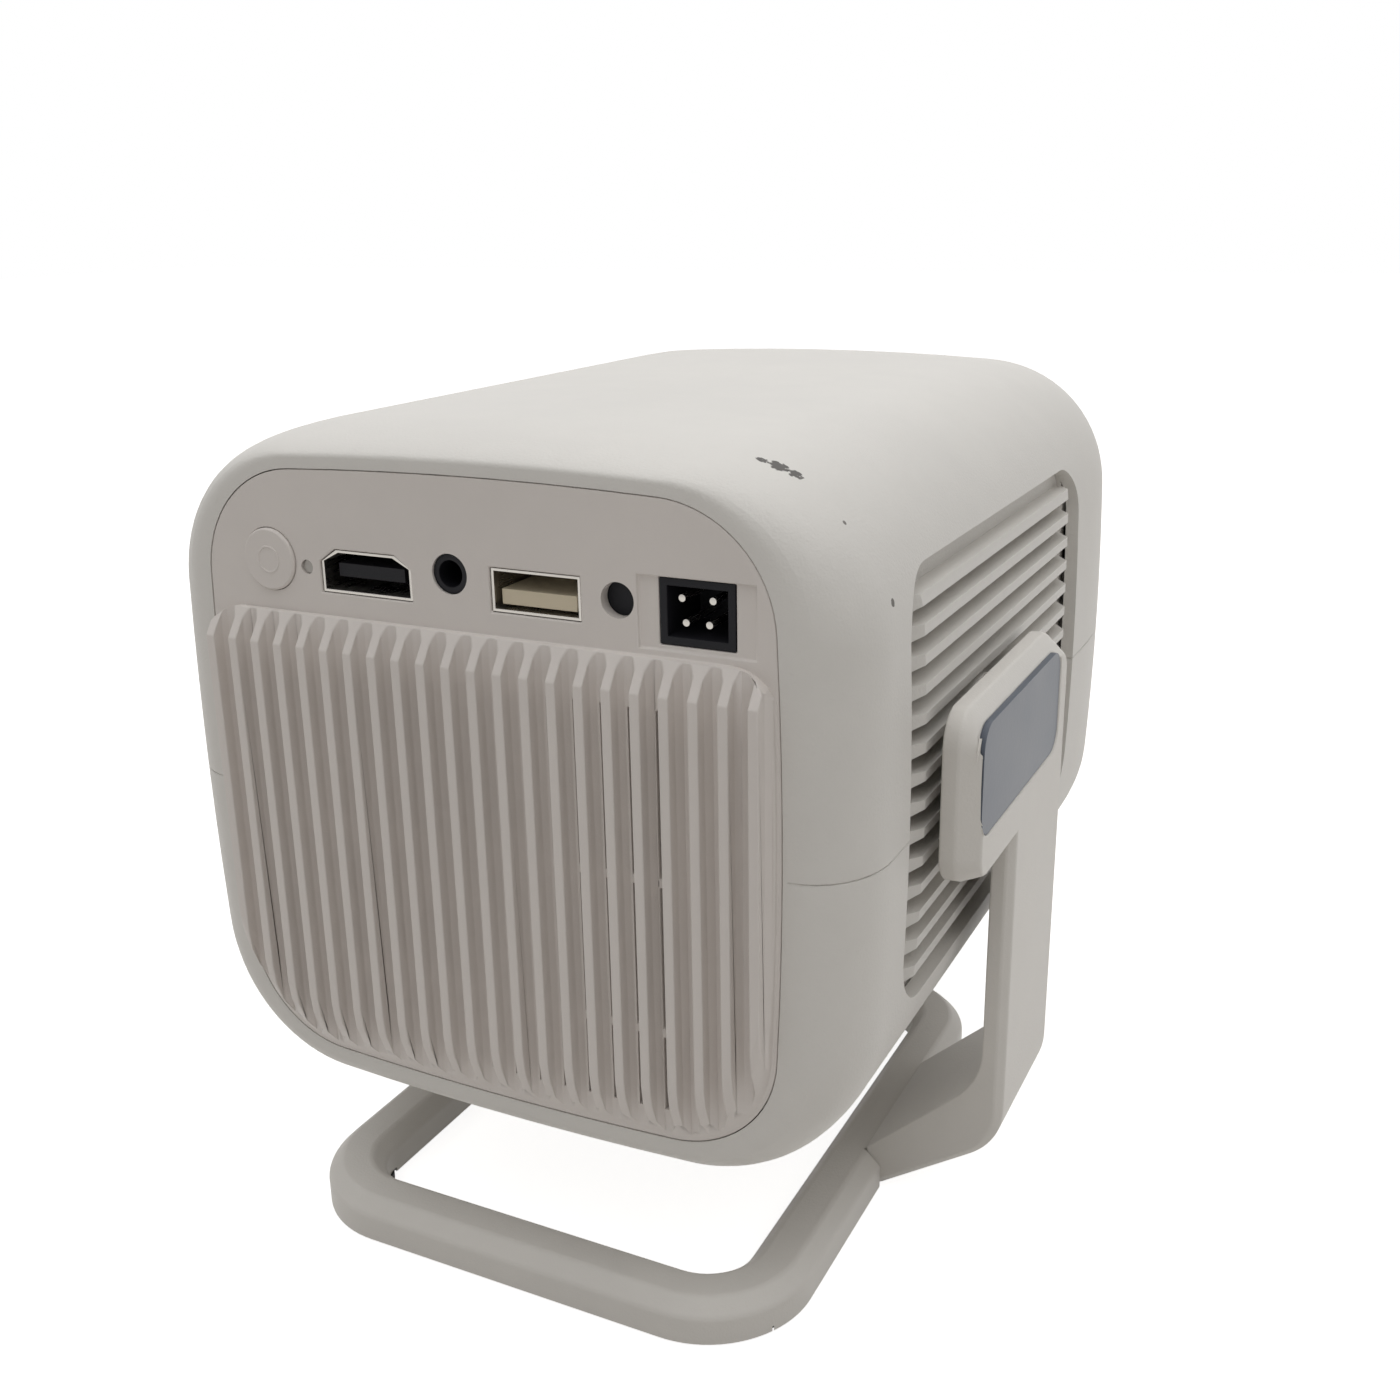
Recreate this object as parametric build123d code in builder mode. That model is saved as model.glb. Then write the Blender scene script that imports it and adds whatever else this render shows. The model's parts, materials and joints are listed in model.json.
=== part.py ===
"""A small projector whose rounded body tilts between the two arms of a flat looped stand.

Millimetres, +Z up. The lens looks along -Y, the sockets and the finned rear grille face +Y.
"Right" is the -X side, the right hand of someone standing behind the projector.
"""

import math
import os
from collections import namedtuple

from build123d import *

# ---- Body: a section of crowned faces and round corners, drawn out along Y ----
body_half_width = 54.0
body_half_height = 49.8
body_middle = 76.3  # height of the section's centre, the pivot and the optics
body_depth = 144.0
face_crown = 560.0  # radius of the slight bulge of each face
body_corner = 24.2
rim_corner = 17.1  # corner radius at the rear and front rims
wall = 2.2
parting_height = 74.3
# The rear edge falls in from each face by a drop, over a run along Y
rear_side_drop = 9.3
rear_side_run = 11.0
rear_top_drop = 3.3
rear_top_run = 21.0
rear_bottom_drop = 5.2
rear_bottom_run = 7.0
front_side_drop = 8.0
front_side_run = 24.0
front_top_drop = 6.0
front_top_run = 30.0
front_bottom_drop = 5.2
front_bottom_run = 12.0
rear_bands = 4  # flats along Y that make up each rounded edge
front_bands = 3
inner_bands = 1

# ---- Rear panel ----
rim_side_band = 0.8
rim_top_band = 1.4
rim_bottom_band = 0.8
panel_thickness = 2.4
seam = 0.12  # gap all round an inset panel
ledge_width = 1.5
ledge_depth = 1.5
rear_opening = panel_thickness + ledge_depth

# ---- Rear grille ----
fin_count = 22
fin_pitch = 3.95
fin_crest = 1.4
fin_proud = 3.4
fin_top_slope = 4.0  # height of the slanted facet on top of each fin
fin_foot_rise = 9.0  # height over which a fin's foot curves back to the panel
foot_steps = 3  # flats that make up that curve
block_proud = 0.7
block_corner = 6.0
block_inset = 0.6  # how far the grille stays inside the panel's edge
block_root = 0.8  # how far the grille is sunk into the panel
lip_height = 101.1
valley_flank = 0.9  # height of the bevel between a fin's flank and the valley floor
valley_floor = 1.2
vent_count = 18
vent_width = 0.9
vent_bottom = 30.0
vent_top = 95.0
vent_margin = 5.0  # least distance of the vents from the panel's edge
vent_rib_heights = (71.2, 49.6)
vent_rib = 1.3

# ---- Side grilles ----
side_recess_rear = 18.0  # depth of the recess's rear edge from the rear rim
side_recess_length = 90.0
side_recess_bottom = 48.0
side_recess_top = 109.5
side_recess_corner = 9.0
side_seat = 48.0  # half-distance between the two faces that the inserts sit on
side_ledge = 2.5
side_ledge_depth = 1.8
side_frame_outer = 50.5  # half-distance out to which the recess's frame reaches, inside the wall
side_frame_grow = 2.2
side_base = 1.8  # thickness of an insert's base plate
louvre_count = 14
louvre_pitch = 4.05
louvre_base = 3.0
louvre_crest = 1.2
louvre_first = 50.2
louvre_margin = 0.35  # how far the crests stay below the body's outline
louvre_end_slope = 6.0
louvre_end_margin = 1.6
side_slot = 0.8
side_slot_end = 9.0
hub_radius = 11.0

# ---- Stand ----
stand_rear_overhang = 1.0
stand_length = 105.0
base_thickness = 6.5
base_half_width = 41.8
base_leg = 9.4
base_bar = 9.2
base_outer_corner = 16.5
base_inner_corner = 7.0
base_edge = 2.2  # bevel along the base's upper edges
pad_proud = 0.5
pad_sunk = 0.8
pad_width = 8.0
pad_inset_x = 6.3
pad_inset_y = 12.0
pad_gap = 0.05

arm_outer = 61.1
arm_thickness = 3.5
arm_rear = 45.0  # depth of the arm's rear edge from the rear rim
arm_width = 28.0
arm_foot_outer = 41.65  # where the arm's outer face meets the underside
arm_outer_knee = 13.4
arm_outer_radius = 11.0
arm_inner_knee = 24.0
arm_inner_radius = 12.0
arm_foot_edge = 39.3
arm_foot_height = 7.3
arm_edge = 1.2  # bevel along the arm's outer edges
tongue_thickness = 2.6  # the arm's tongue lies in a pocket under the base leg
tongue_inner = 34.0
tongue_inset = 2.0

cap_gap = 1.6  # from the body's widest line to the cap's inner face
cap_rear = 25.3
cap_bottom = 64.6
cap_top = 89.8
cap_corner = 5.0
cap_flat_edge = 2.3  # thickness of the cap's straight edge, before its bevels
cap_top_bevel = 3.2
cap_bottom_bevel = 1.4
cap_rear_bevel = 1.8
cap_front_bevel = 1.2
window_rear = 26.9
window_length = 41.0
window_bottom = 71.8
window_height = 16.2
window_corner = 3.6
window_sunk = 0.2
window_thickness = 0.9
window_gap = 0.1

# ---- Pivot ----
pivot_depth = 51.5
pin_radius = 4.0
pin_sunk = 3.0  # how far the pin is let into the cap
pin_clearance = 0.04
pin_collar = 6.5
pin_collar_thickness = 1.5
bush_radius = 6.0
bush_flange = 8.0
bush_flange_thickness = 0.9
washer_radius = 8.5
washer_thickness = 0.9
pivot_boss_length = 7.3
pivot_plate_thickness = 1.5
pivot_plate_corner = 4.0
pivot_plate_width = 26.0
pivot_plate_height = 30.0
rest_gap = 0.3  # clearance between pieces that turn or slide past each other

# ---- Front and lens ----
front_band = 1.2
front_panel_thickness = 2.4
front_opening = front_panel_thickness + ledge_depth
bezel_proud = 1.5
bezel_radius = 30.0
bezel_flange = 32.0
bezel_depth = 9.0
bezel_lip = 1.2
focus_radius = 25.0
focus_sunk = 0.8
focus_thickness = 7.6
focus_grips = 20
focus_grip_depth = 0.8
focus_grip_width = 2.4
focus_grip_length = 4.0
focus_clearance = 0.1
barrel_radius = 17.5
barrel_wall = 1.8
barrel_sunk = 1.6
barrel_length = 31.0
barrel_clearance = 0.06
front_lens_thickness = 5.0
rear_lens_thickness = 4.0
lens_bulge = 1.4
lens_sunk = 1.6
lens_centre = 0.4  # share of a lens's radius that its flat middle takes
barrel_lip = 1.2

# ---- Optical engine ----
engine_half_width = 26.0
engine_half_height = 21.0
engine_wall = 2.0
engine_front_depth = 32.95  # depth of the engine's front from the front rim
collar_wall = 2.2
collar_length = 17.0
led_board_size = 40.0
led_board_thickness = 1.6
led_chip = 9.0
led_chip_height = 1.0
sink_width = 62.0
sink_height = 42.0
sink_base = 3.0
sink_fin_depth = 13.0
sink_fin_count = 13
sink_fin = 1.1
sink_fan_gap = 3.1
condenser_thickness = 6.0
condenser_depth = 9.4  # depth of the condenser's middle from the engine's rear
lcd_thickness = 2.0
lcd_depth = 36.0  # the display and field lens are placed from the engine's front
field_lens_thickness = 2.0
field_lens_depth = 28.0
optic_gap = 0.15
post_radius = 4.0
post_inset = 6.0

# ---- Boards and sockets ----
socket_base = 104.3  # top face of the main board, where the sockets stand
board_thickness = 1.6
board_half_width = 40.0
board_depth = 6.05  # depth of the board's rear edge from the rear rim
board_length = 77.0
board_boss_radius = 3.0
board_boss_rear = 31.0  # from the board's rear edge to its rear bosses
board_boss_front = 6.0  # from its front edge to its front bosses
board_boss_x = 34.0
socket_clearance = 0.1
socket_sunk = 0.3
socket_back = 2.5  # thickness of the plastic block that closes a socket
sheet = 0.4  # metal of a socket's shell

button_x = 32.0
button_z = 108.1
button_radius = 4.3
button_proud = 0.5
button_travel = 0.5
button_flange = 4.9
button_flange_thickness = 0.8
button_stem = 1.5
button_clearance = 0.12
switch_width = 6.0
switch_depth = 3.5
switch_depth_in = 10.05  # depth of the switch's front from the rear rim
switch_nub = 1.6
switch_nub_length = 1.0
button_float = 0.15  # play of the button at each end of its travel

light_x = 25.8
light_z = 107.5
light_radius = 0.9
light_body = 2.2
light_sunk = 0.4

video_x = 16.15
video_width = 14.7
video_height = 5.9
video_top_width = 9.6
video_side_height = 4.2
video_length = 11.5
video_tongue_width = 10.8
video_tongue_thickness = 1.8
video_tongue_sunk = 1.2

jack_x = 2.55
jack_z = 108.6
jack_bore = 1.8
jack_nozzle = 2.6
jack_nozzle_length = 2.2
jack_width = 6.6
jack_top = 112.4
jack_length = 12.0
jack_gap = 0.1
jack_bore_length = 13.0

data_x = -10.15
data_width = 13.1
data_height = 5.7
data_length = 14.0
data_tongue_width = 11.1
data_tongue_thickness = 2.0
data_tongue_lift = 0.5
data_tongue_sunk = 0.8

ir_x = -22.0
ir_z = 107.6
ir_radius = 2.3
ir_sunk = 1.6
ir_thickness = 2.4
ir_block = 6.0

power_x = -32.6
power_width = 10.05
power_bottom = 102.7
power_height = 8.3
power_length = 10.0
power_wall = 1.0
power_sunk = 0.5
power_recess_side = 2.8
power_recess_drop = 0.6
pin_width_upper = 4.1
pin_width_lower = 3.1
pin_height_upper = 108.6
pin_height_lower = 105.6
power_pin_radius = 0.45
power_pin_sunk = 0.1

# ---- Fan and speakers ----
fan_size = 50.0
fan_depth = 15.0
fan_corner = 4.0
fan_x = -14.0
fan_z = 61.5
fan_duct = 23.6
fan_hub = 12.0
fan_tip_gap = 0.7
fan_blades = 9
fan_blade_thickness = 1.0
fan_blade_twist = 38.0
fan_blade_chord = 12.0
fan_blade_sink = 0.6
fan_cup = 1.2
fan_post = 3.0
fan_post_length = 8.0
fan_hole_pitch = 40.0
fan_hole = 1.7
fan_screw = 1.5
fan_screw_bite = 1.2
fan_screw_head = 2.6
fan_screw_head_height = 1.6
fan_spoke = 2.6
fan_hub_plate = 2.0
fan_shaft = 1.2
fan_shaft_clearance = 0.04
fan_peg_radius = 3.0

speaker_radius = 14.0
speaker_depth = 11.0
speaker_magnet = 8.0
speaker_magnet_depth = 4.0
speaker_cone_centre = 6.0
speaker_rim = 1.5
speaker_rim_width = 3.0
speaker_forward = 25.05  # from the middle of the side recess forwards
speaker_z = 66.0

# ---- Fasteners ----
screw_sides = 8  # the hidden screws are drawn with flat sides
boss_radius = 3.4
boss_x = 43.0
boss_rear_depth = 18.15  # depth of the case bosses from the rear rim
boss_front_depth = 24.95  # and from the front rim
boss_top = 88.0
case_screw = 1.3
case_screw_head = 2.5
case_screw_head_height = 1.8
boss_seat_below = 10.0  # how far under the parting line the screw head bears
arm_screw = 1.5
case_screw_bite = 7.0
board_screw = 1.0
board_screw_head = 1.9
board_screw_head_height = 1.2
board_screw_bite = 5.0
boss_web = 1.6
arm_screw_grip = 2.8  # thread length in the base leg
fit_gap = 0.05
arm_screw_spread = 16.0

# ---- Places that follow from the sizes above ----
rear_y = (body_depth + bezel_proud + fin_proud) / 2 - fin_proud
front_y = rear_y - body_depth
body_top = body_middle + body_half_height
body_bottom = body_middle - body_half_height
pivot_y = rear_y - pivot_depth
cap_inner = body_half_width + cap_gap
stand_rear_y = rear_y + stand_rear_overhang
stand_front_y = stand_rear_y - stand_length
base_top = pad_proud + base_thickness
panel_back_y = rear_y - panel_thickness
ledge_back_y = panel_back_y - ledge_depth
side_recess_y = rear_y - side_recess_rear - side_recess_length / 2
side_recess_z = (side_recess_bottom + side_recess_top) / 2
side_recess_height = side_recess_top - side_recess_bottom
fan_rear_y = ledge_back_y - fit_gap
sink_rear_y = fan_rear_y - fan_depth - sink_fan_gap
engine_rear = sink_rear_y - sink_fin_depth - sink_base - led_board_thickness
engine_front = front_y + engine_front_depth
condenser_y = engine_rear - condenser_depth
lcd_y = engine_front + lcd_depth
field_lens_y = engine_front + field_lens_depth
board_rear = rear_y - board_depth
board_front = board_rear - board_length
board_boss_rear_y = board_rear - board_boss_rear
board_boss_front_y = board_front + board_boss_front
switch_front_y = rear_y - switch_depth_in
speaker_y = side_recess_y - speaker_forward
boss_rear_y = rear_y - boss_rear_depth
boss_front_y = front_y + boss_front_depth

End = namedtuple("End", "y inward side_drop side_run top_drop top_run bottom_drop bottom_run")
rear_end = End(
    rear_y, -1, rear_side_drop, rear_side_run, rear_top_drop, rear_top_run,
    rear_bottom_drop, rear_bottom_run,
)
front_end = End(
    front_y, 1, front_side_drop, front_side_run, front_top_drop, front_top_run,
    front_bottom_drop, front_bottom_run,
)


# ---- Planes, outlines and plain forms ----
def at_y(y):
    """An upright plane across the body; its sketches are drawn in X and Z and grow forwards."""
    return Plane.XZ.offset(-y)


def quarter_points(half_width, half_height, corner, crown):
    """Both ends and the middle of the corner arc that joins two crowned faces."""
    side = Vector(half_width - crown, 0)
    top = Vector(0, half_height - crown)
    middle = (side + top) / 2
    outward = Vector(crown - half_height, crown - half_width).normalized()
    half_apart = (top - side).length / 2
    centre = middle + outward * math.sqrt((crown - corner) ** 2 - half_apart**2)
    return (
        side + (centre - side).normalized() * crown,
        centre + outward * corner,
        top + (centre - top).normalized() * crown,
    )


def ring_face(y, half_width, bottom, top, corner, crown=face_crown):
    """A flat section across the body at this place along Y: four crowned faces, round corners."""
    half_height = (top - bottom) / 2
    middle = (top + bottom) / 2
    low, bend, high = quarter_points(half_width, half_height, corner, crown)
    with BuildSketch(at_y(y)) as face:
        with BuildLine():
            ThreePointArc((low.X, -low.Y), (half_width, 0), (low.X, low.Y))
            ThreePointArc((low.X, low.Y), (bend.X, bend.Y), (high.X, high.Y))
            ThreePointArc((high.X, high.Y), (0, half_height), (-high.X, high.Y))
            ThreePointArc((-high.X, high.Y), (-bend.X, bend.Y), (-low.X, low.Y))
            ThreePointArc((-low.X, low.Y), (-half_width, 0), (-low.X, -low.Y))
            ThreePointArc((-low.X, -low.Y), (-bend.X, -bend.Y), (-high.X, -high.Y))
            ThreePointArc((-high.X, -high.Y), (0, -half_height), (high.X, -high.Y))
            ThreePointArc((high.X, -high.Y), (bend.X, -bend.Y), (low.X, -low.Y))
        make_face()
    return face.sketch.moved(Location((0, 0, middle)))


def end_size(end, depth):
    """Half-width, bottom, top and corner radius of the body at a depth in from one end."""

    def drop(amount, run):
        """A quarter ellipse: steep at the rim and level where the run ends."""
        left = max(0.0, 1 - depth / run)
        return amount * (1 - math.sqrt(1 - left**2))

    half_width = body_half_width - drop(end.side_drop, end.side_run)
    bottom = body_bottom + drop(end.bottom_drop, end.bottom_run)
    top = body_top - drop(end.top_drop, end.top_run)
    corner = body_corner - drop(body_corner - rim_corner, end.side_run)
    return half_width, bottom, top, corner


def end_face(end, depth, inset):
    """The body's section at a depth in from one end, its edge moved in by inset."""
    half_width, bottom, top, corner = end_size(end, depth)
    y = end.y + end.inward * depth
    return ring_face(
        y, half_width - inset, bottom + inset, top - inset, corner - inset, face_crown - inset
    )


def end_reach(end):
    """Depth at which an end's rounding has died out."""
    return max(end.side_run, end.top_run, end.bottom_run)


def housing_form(inset, rear_start, front_start, bands):
    """The body as one solid, its skin moved in by inset and its ends by the two starts."""
    with BuildPart() as form:
        for end, start, steps in zip((rear_end, front_end), (rear_start, front_start), bands):
            travel = end_reach(end) - start
            turns = [math.pi / 2 * k / steps for k in range(steps + 1)]
            depths = [start + travel * (1 - math.cos(turn)) for turn in turns]
            loft([end_face(end, depth, inset) for depth in depths], ruled=True)
        middle_length = body_depth - end_reach(rear_end) - end_reach(front_end)
        extrude(end_face(rear_end, end_reach(rear_end), inset), amount=middle_length)
    return form.part


def straight_form(inset):
    """The body's middle section drawn out over the whole depth, its skin moved in by inset."""
    with BuildPart() as form:
        section = ring_face(
            rear_y,
            body_half_width - inset,
            body_bottom + inset,
            body_top - inset,
            body_corner - inset,
            face_crown - inset,
        )
        extrude(section, amount=body_depth)
    return form.part


def panel_face(end, side_band, top_band, bottom_band, inset, y):
    """The outline of an inset end panel, drawn in from the rim by the bands and by inset."""
    half_width, bottom, top, corner = end_size(end, 0.0)
    return ring_face(
        y,
        half_width - side_band - inset,
        bottom + bottom_band + inset,
        top - top_band - inset,
        corner - side_band - inset,
    )


def rear_face(inset, y):
    """The rear panel's outline."""
    return panel_face(rear_end, rim_side_band, rim_top_band, rim_bottom_band, inset, y)


def front_face(inset, y):
    """The front panel's outline."""
    return panel_face(front_end, front_band, front_band, front_band, inset, y)


def drum(y, length, radius, centre=(0.0, 0.0), bore=0.0):
    """A round piece about an axis along Y, growing forwards from y."""
    with BuildPart() as piece:
        with BuildSketch(at_y(y)):
            with Locations(centre):
                Circle(radius)
                if bore:
                    Circle(bore, mode=Mode.SUBTRACT)
        extrude(amount=length)
    return piece.part


def slab(x_range, y_range, z_range):
    """A rectangular block between three pairs of limits."""
    size = [high - low for low, high in (x_range, y_range, z_range)]
    centre = Vector(*[(high + low) / 2 for low, high in (x_range, y_range, z_range)])
    with BuildPart() as piece:
        with Locations(centre):
            Box(*size)
    return piece.part


def side_prism(x_from, x_to, grow):
    """The rounded side recess's outline, grown by an amount, between two places along X."""
    with BuildPart() as prism:
        with BuildSketch(Plane.YZ.offset(x_from)):
            with Locations((side_recess_y, side_recess_z)):
                RectangleRounded(
                    side_recess_length + 2 * grow,
                    side_recess_height + 2 * grow,
                    side_recess_corner + grow,
                )
        extrude(amount=x_to - x_from)
    return prism.part


def both_sides(shape):
    """A piece of the left side and its mirror image."""
    return [shape, mirror(shape, about=Plane.YZ)]


# ---- Stand ----
base_length = stand_rear_y - stand_front_y
base_mid_y = (stand_rear_y + stand_front_y) / 2
base_window = (2 * (base_half_width - base_leg), base_length - 2 * base_bar)
pad_places = [
    (sx * (base_half_width - pad_inset_x), base_mid_y + sy * (base_length / 2 - pad_inset_y))
    for sx in (-1, 1)
    for sy in (-1, 1)
]
arm_mid_y = rear_y - arm_rear - arm_width / 2
arm_screw_x = (arm_foot_edge + tongue_inner) / 2
arm_y_range = (arm_mid_y - arm_width / 2, arm_mid_y + arm_width / 2)
tongue_y_range = (arm_y_range[0] + tongue_inset, arm_y_range[1] - tongue_inset)
tongue_top = pad_proud + tongue_thickness
arm_screw_places = [
    (sx * arm_screw_x, arm_mid_y + sy * arm_screw_spread / 2) for sx in (-1, 1) for sy in (-1, 1)
]

cap_front_y = arm_y_range[0]
cap_rear_y = rear_y - cap_rear
window_y = rear_y - window_rear - window_length / 2
window_z = window_bottom + window_height / 2

arm_notch = slab(
    (arm_foot_edge - fit_gap, arm_outer),
    (arm_y_range[0] - fit_gap, arm_y_range[1] + fit_gap),
    (0, base_top + 1),
)
tongue_pocket = slab(
    (tongue_inner - fit_gap, arm_outer),
    (tongue_y_range[0] - fit_gap, tongue_y_range[1] + fit_gap),
    (0, tongue_top),
)

with BuildPart() as base_loop:
    with BuildSketch(Plane.XY.offset(pad_proud)):
        with Locations((0, base_mid_y)):
            RectangleRounded(2 * base_half_width, base_length, base_outer_corner)
            RectangleRounded(*base_window, base_inner_corner, mode=Mode.SUBTRACT)
    extrude(amount=base_thickness)
    chamfer(base_loop.faces().sort_by(Axis.Z)[-1].edges(), length=base_edge)
    with BuildSketch(Plane.XY.offset(pad_proud)):
        with Locations(*pad_places):
            Rectangle(pad_width + 2 * pad_gap, pad_width + 2 * pad_gap)
    extrude(amount=pad_sunk, mode=Mode.SUBTRACT)
    add(both_sides(arm_notch), mode=Mode.SUBTRACT)
    add(both_sides(tongue_pocket), mode=Mode.SUBTRACT)
    with BuildSketch(Plane.XY.offset(tongue_top)):
        with Locations(*arm_screw_places):
            Circle(arm_screw)
    extrude(amount=arm_screw_grip, mode=Mode.SUBTRACT)

with BuildPart() as foot_pads:
    with BuildSketch(Plane.XY):
        with Locations(*pad_places):
            Rectangle(pad_width, pad_width)
    extrude(amount=pad_proud + pad_sunk)

# One arm with its cap, drawn on the left; the other is its mirror image
arm_top = cap_top - cap_top_bevel - cap_corner
cap_length = cap_rear_y - cap_front_y
cap_height = cap_top - cap_bottom
cap_face_place = (
    (cap_front_y + cap_front_bevel + cap_rear_y - cap_rear_bevel) / 2,
    (cap_bottom + cap_bottom_bevel + cap_top - cap_top_bevel) / 2,
)
with BuildPart() as left_arm:
    with BuildSketch(at_y(arm_y_range[1])):
        with BuildLine():
            outer_line = FilletPolyline(
                (arm_outer, arm_top),
                (arm_outer, arm_outer_knee),
                (arm_foot_outer, pad_proud),
                radius=arm_outer_radius,
            )
            Line((arm_foot_outer, pad_proud), (arm_foot_edge, pad_proud))
            Line((arm_foot_edge, pad_proud), (arm_foot_edge, arm_foot_height))
            FilletPolyline(
                (arm_foot_edge, arm_foot_height),
                (arm_outer - arm_thickness, arm_inner_knee),
                (arm_outer - arm_thickness, arm_top),
                radius=arm_inner_radius,
            )
            Line((arm_outer - arm_thickness, arm_top), (arm_outer, arm_top))
        make_face()
    extrude(amount=arm_width)
    outer_edges = [
        edge
        for edge in left_arm.edges().filter_by(Axis.Y, reverse=True)
        if outer_line.distance_to(Vector((edge @ 0.5).X, (edge @ 0.5).Z)) < fit_gap
    ]
    chamfer(outer_edges, length=arm_edge)
    with BuildSketch(Plane.YZ.offset(cap_inner)):
        with Locations(((cap_front_y + cap_rear_y) / 2, (cap_bottom + cap_top) / 2)):
            RectangleRounded(cap_length, cap_height, cap_corner)
    extrude(amount=cap_flat_edge)
    with BuildSketch(Plane.YZ.offset(cap_inner + cap_flat_edge)):
        with Locations(((cap_front_y + cap_rear_y) / 2, (cap_bottom + cap_top) / 2)):
            RectangleRounded(cap_length, cap_height, cap_corner)
    with BuildSketch(Plane.YZ.offset(arm_outer)):
        with Locations(cap_face_place):
            RectangleRounded(
                cap_length - cap_front_bevel - cap_rear_bevel,
                cap_height - cap_bottom_bevel - cap_top_bevel,
                cap_corner - cap_rear_bevel,
            )
    loft(ruled=True)
    add(
        slab(
            (tongue_inner, arm_foot_edge),
            tongue_y_range,
            (pad_proud, tongue_top - fit_gap),
        )
    )
    with BuildSketch(Plane.YZ.offset(arm_outer)):
        with Locations((window_y, window_z)):
            RectangleRounded(window_length, window_height, window_corner)
    extrude(amount=-(window_thickness + window_sunk), mode=Mode.SUBTRACT)
    with BuildSketch(Plane.YZ.offset(cap_inner)):
        with Locations((pivot_y, body_middle)):
            Circle(pin_radius + fit_gap)
    extrude(amount=pin_sunk, mode=Mode.SUBTRACT)
    with BuildSketch(Plane.XY.offset(pad_proud)):
        with Locations(*[p for p in arm_screw_places if p[0] > 0]):
            Circle(arm_screw + fit_gap)
    extrude(amount=tongue_thickness, mode=Mode.SUBTRACT)

with BuildPart() as left_window:
    with BuildSketch(Plane.YZ.offset(arm_outer - window_sunk - window_thickness)):
        with Locations((window_y, window_z)):
            RectangleRounded(
                window_length - 2 * window_gap,
                window_height - 2 * window_gap,
                window_corner - window_gap,
            )
    extrude(amount=window_thickness)

with BuildPart() as arm_screws:
    with BuildSketch(Plane.XY.offset(pad_proud + fit_gap)):
        with Locations(*arm_screw_places):
            RegularPolygon(arm_screw, screw_sides)
    extrude(amount=tongue_thickness + arm_screw_grip - 2 * fit_gap)

# ---- Pivot, built on the left ----
bush_face = cap_inner - washer_thickness - rest_gap  # outer face of the bush's flange
plate_face = bush_face - bush_flange_thickness - pivot_boss_length
pin_inner_end = plate_face - pivot_plate_thickness - rest_gap - pin_collar_thickness

with BuildPart() as left_pivot_pin:
    with BuildSketch(Plane.YZ.offset(pin_inner_end)):
        with Locations((pivot_y, body_middle)):
            Circle(pin_radius)
    extrude(amount=cap_inner + pin_sunk - pin_inner_end)
    with BuildSketch(Plane.YZ.offset(pin_inner_end)):
        with Locations((pivot_y, body_middle)):
            RegularPolygon(pin_collar, 6)
    extrude(amount=pin_collar_thickness)

with BuildPart() as left_friction_washer:
    with BuildSketch(Plane.YZ.offset(cap_inner - washer_thickness)):
        with Locations((pivot_y, body_middle)):
            Circle(washer_radius)
            Circle(pin_radius + pin_clearance, mode=Mode.SUBTRACT)
    extrude(amount=washer_thickness)

with BuildPart() as left_pivot_bush:
    with BuildSketch(Plane.YZ.offset(bush_face - bush_flange_thickness)):
        with Locations((pivot_y, body_middle)):
            Circle(bush_flange)
    extrude(amount=bush_flange_thickness)
    with BuildSketch(Plane.YZ.offset(plate_face - pivot_plate_thickness)):
        with Locations((pivot_y, body_middle)):
            Circle(bush_radius)
    extrude(amount=pivot_boss_length + pivot_plate_thickness)
    with BuildSketch(Plane.YZ.offset(plate_face - pivot_plate_thickness)):
        with Locations((pivot_y, body_middle)):
            Circle(pin_radius + pin_clearance)
    extrude(amount=cap_inner, mode=Mode.SUBTRACT)

with BuildPart() as left_pivot_plate:
    with BuildSketch(Plane.YZ.offset(plate_face - pivot_plate_thickness)):
        with Locations((pivot_y, body_middle)):
            RectangleRounded(pivot_plate_width, pivot_plate_height, pivot_plate_corner)
            Circle(bush_radius + fit_gap, mode=Mode.SUBTRACT)
    extrude(amount=pivot_plate_thickness)

# ---- Housing: one hollow form cut at the parting line ----
with BuildPart() as housing:
    add(housing_form(0.0, 0.0, 0.0, (rear_bands, front_bands)))
    inside = housing_form(wall, rear_opening, front_opening, (inner_bands, inner_bands))
    add(inside, mode=Mode.SUBTRACT)
    extrude(rear_face(0.0, rear_y), amount=panel_thickness, mode=Mode.SUBTRACT)
    extrude(rear_face(ledge_width, rear_y), amount=rear_opening, mode=Mode.SUBTRACT)
    extrude(front_face(0.0, front_y), amount=-front_panel_thickness, mode=Mode.SUBTRACT)
    extrude(front_face(ledge_width, front_y), amount=-front_opening, mode=Mode.SUBTRACT)
    side_frame = side_prism(side_seat - side_ledge_depth, side_frame_outer, side_frame_grow)
    add(both_sides(side_frame))
    add(both_sides(side_prism(side_seat, arm_outer, 0.0)), mode=Mode.SUBTRACT)
    through = side_prism(side_seat - side_ledge_depth, arm_outer, -side_ledge)
    add(both_sides(through), mode=Mode.SUBTRACT)

boss_places = [(sx * boss_x, y) for sx in (-1, 1) for y in (boss_rear_y, boss_front_y)]
board_places = [
    (sx * board_boss_x, y) for sx in (-1, 1) for y in (board_boss_rear_y, board_boss_front_y)
]
post_places = [
    (sx * (engine_half_width - post_inset), y)
    for sx in (-1, 1)
    for y in (engine_rear - post_inset, engine_front + post_inset)
]
engine_bottom = body_middle - engine_half_height
engine_top = body_middle + engine_half_height
board_bottom = socket_base - board_thickness
solid_form = straight_form(wall / 2)


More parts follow.
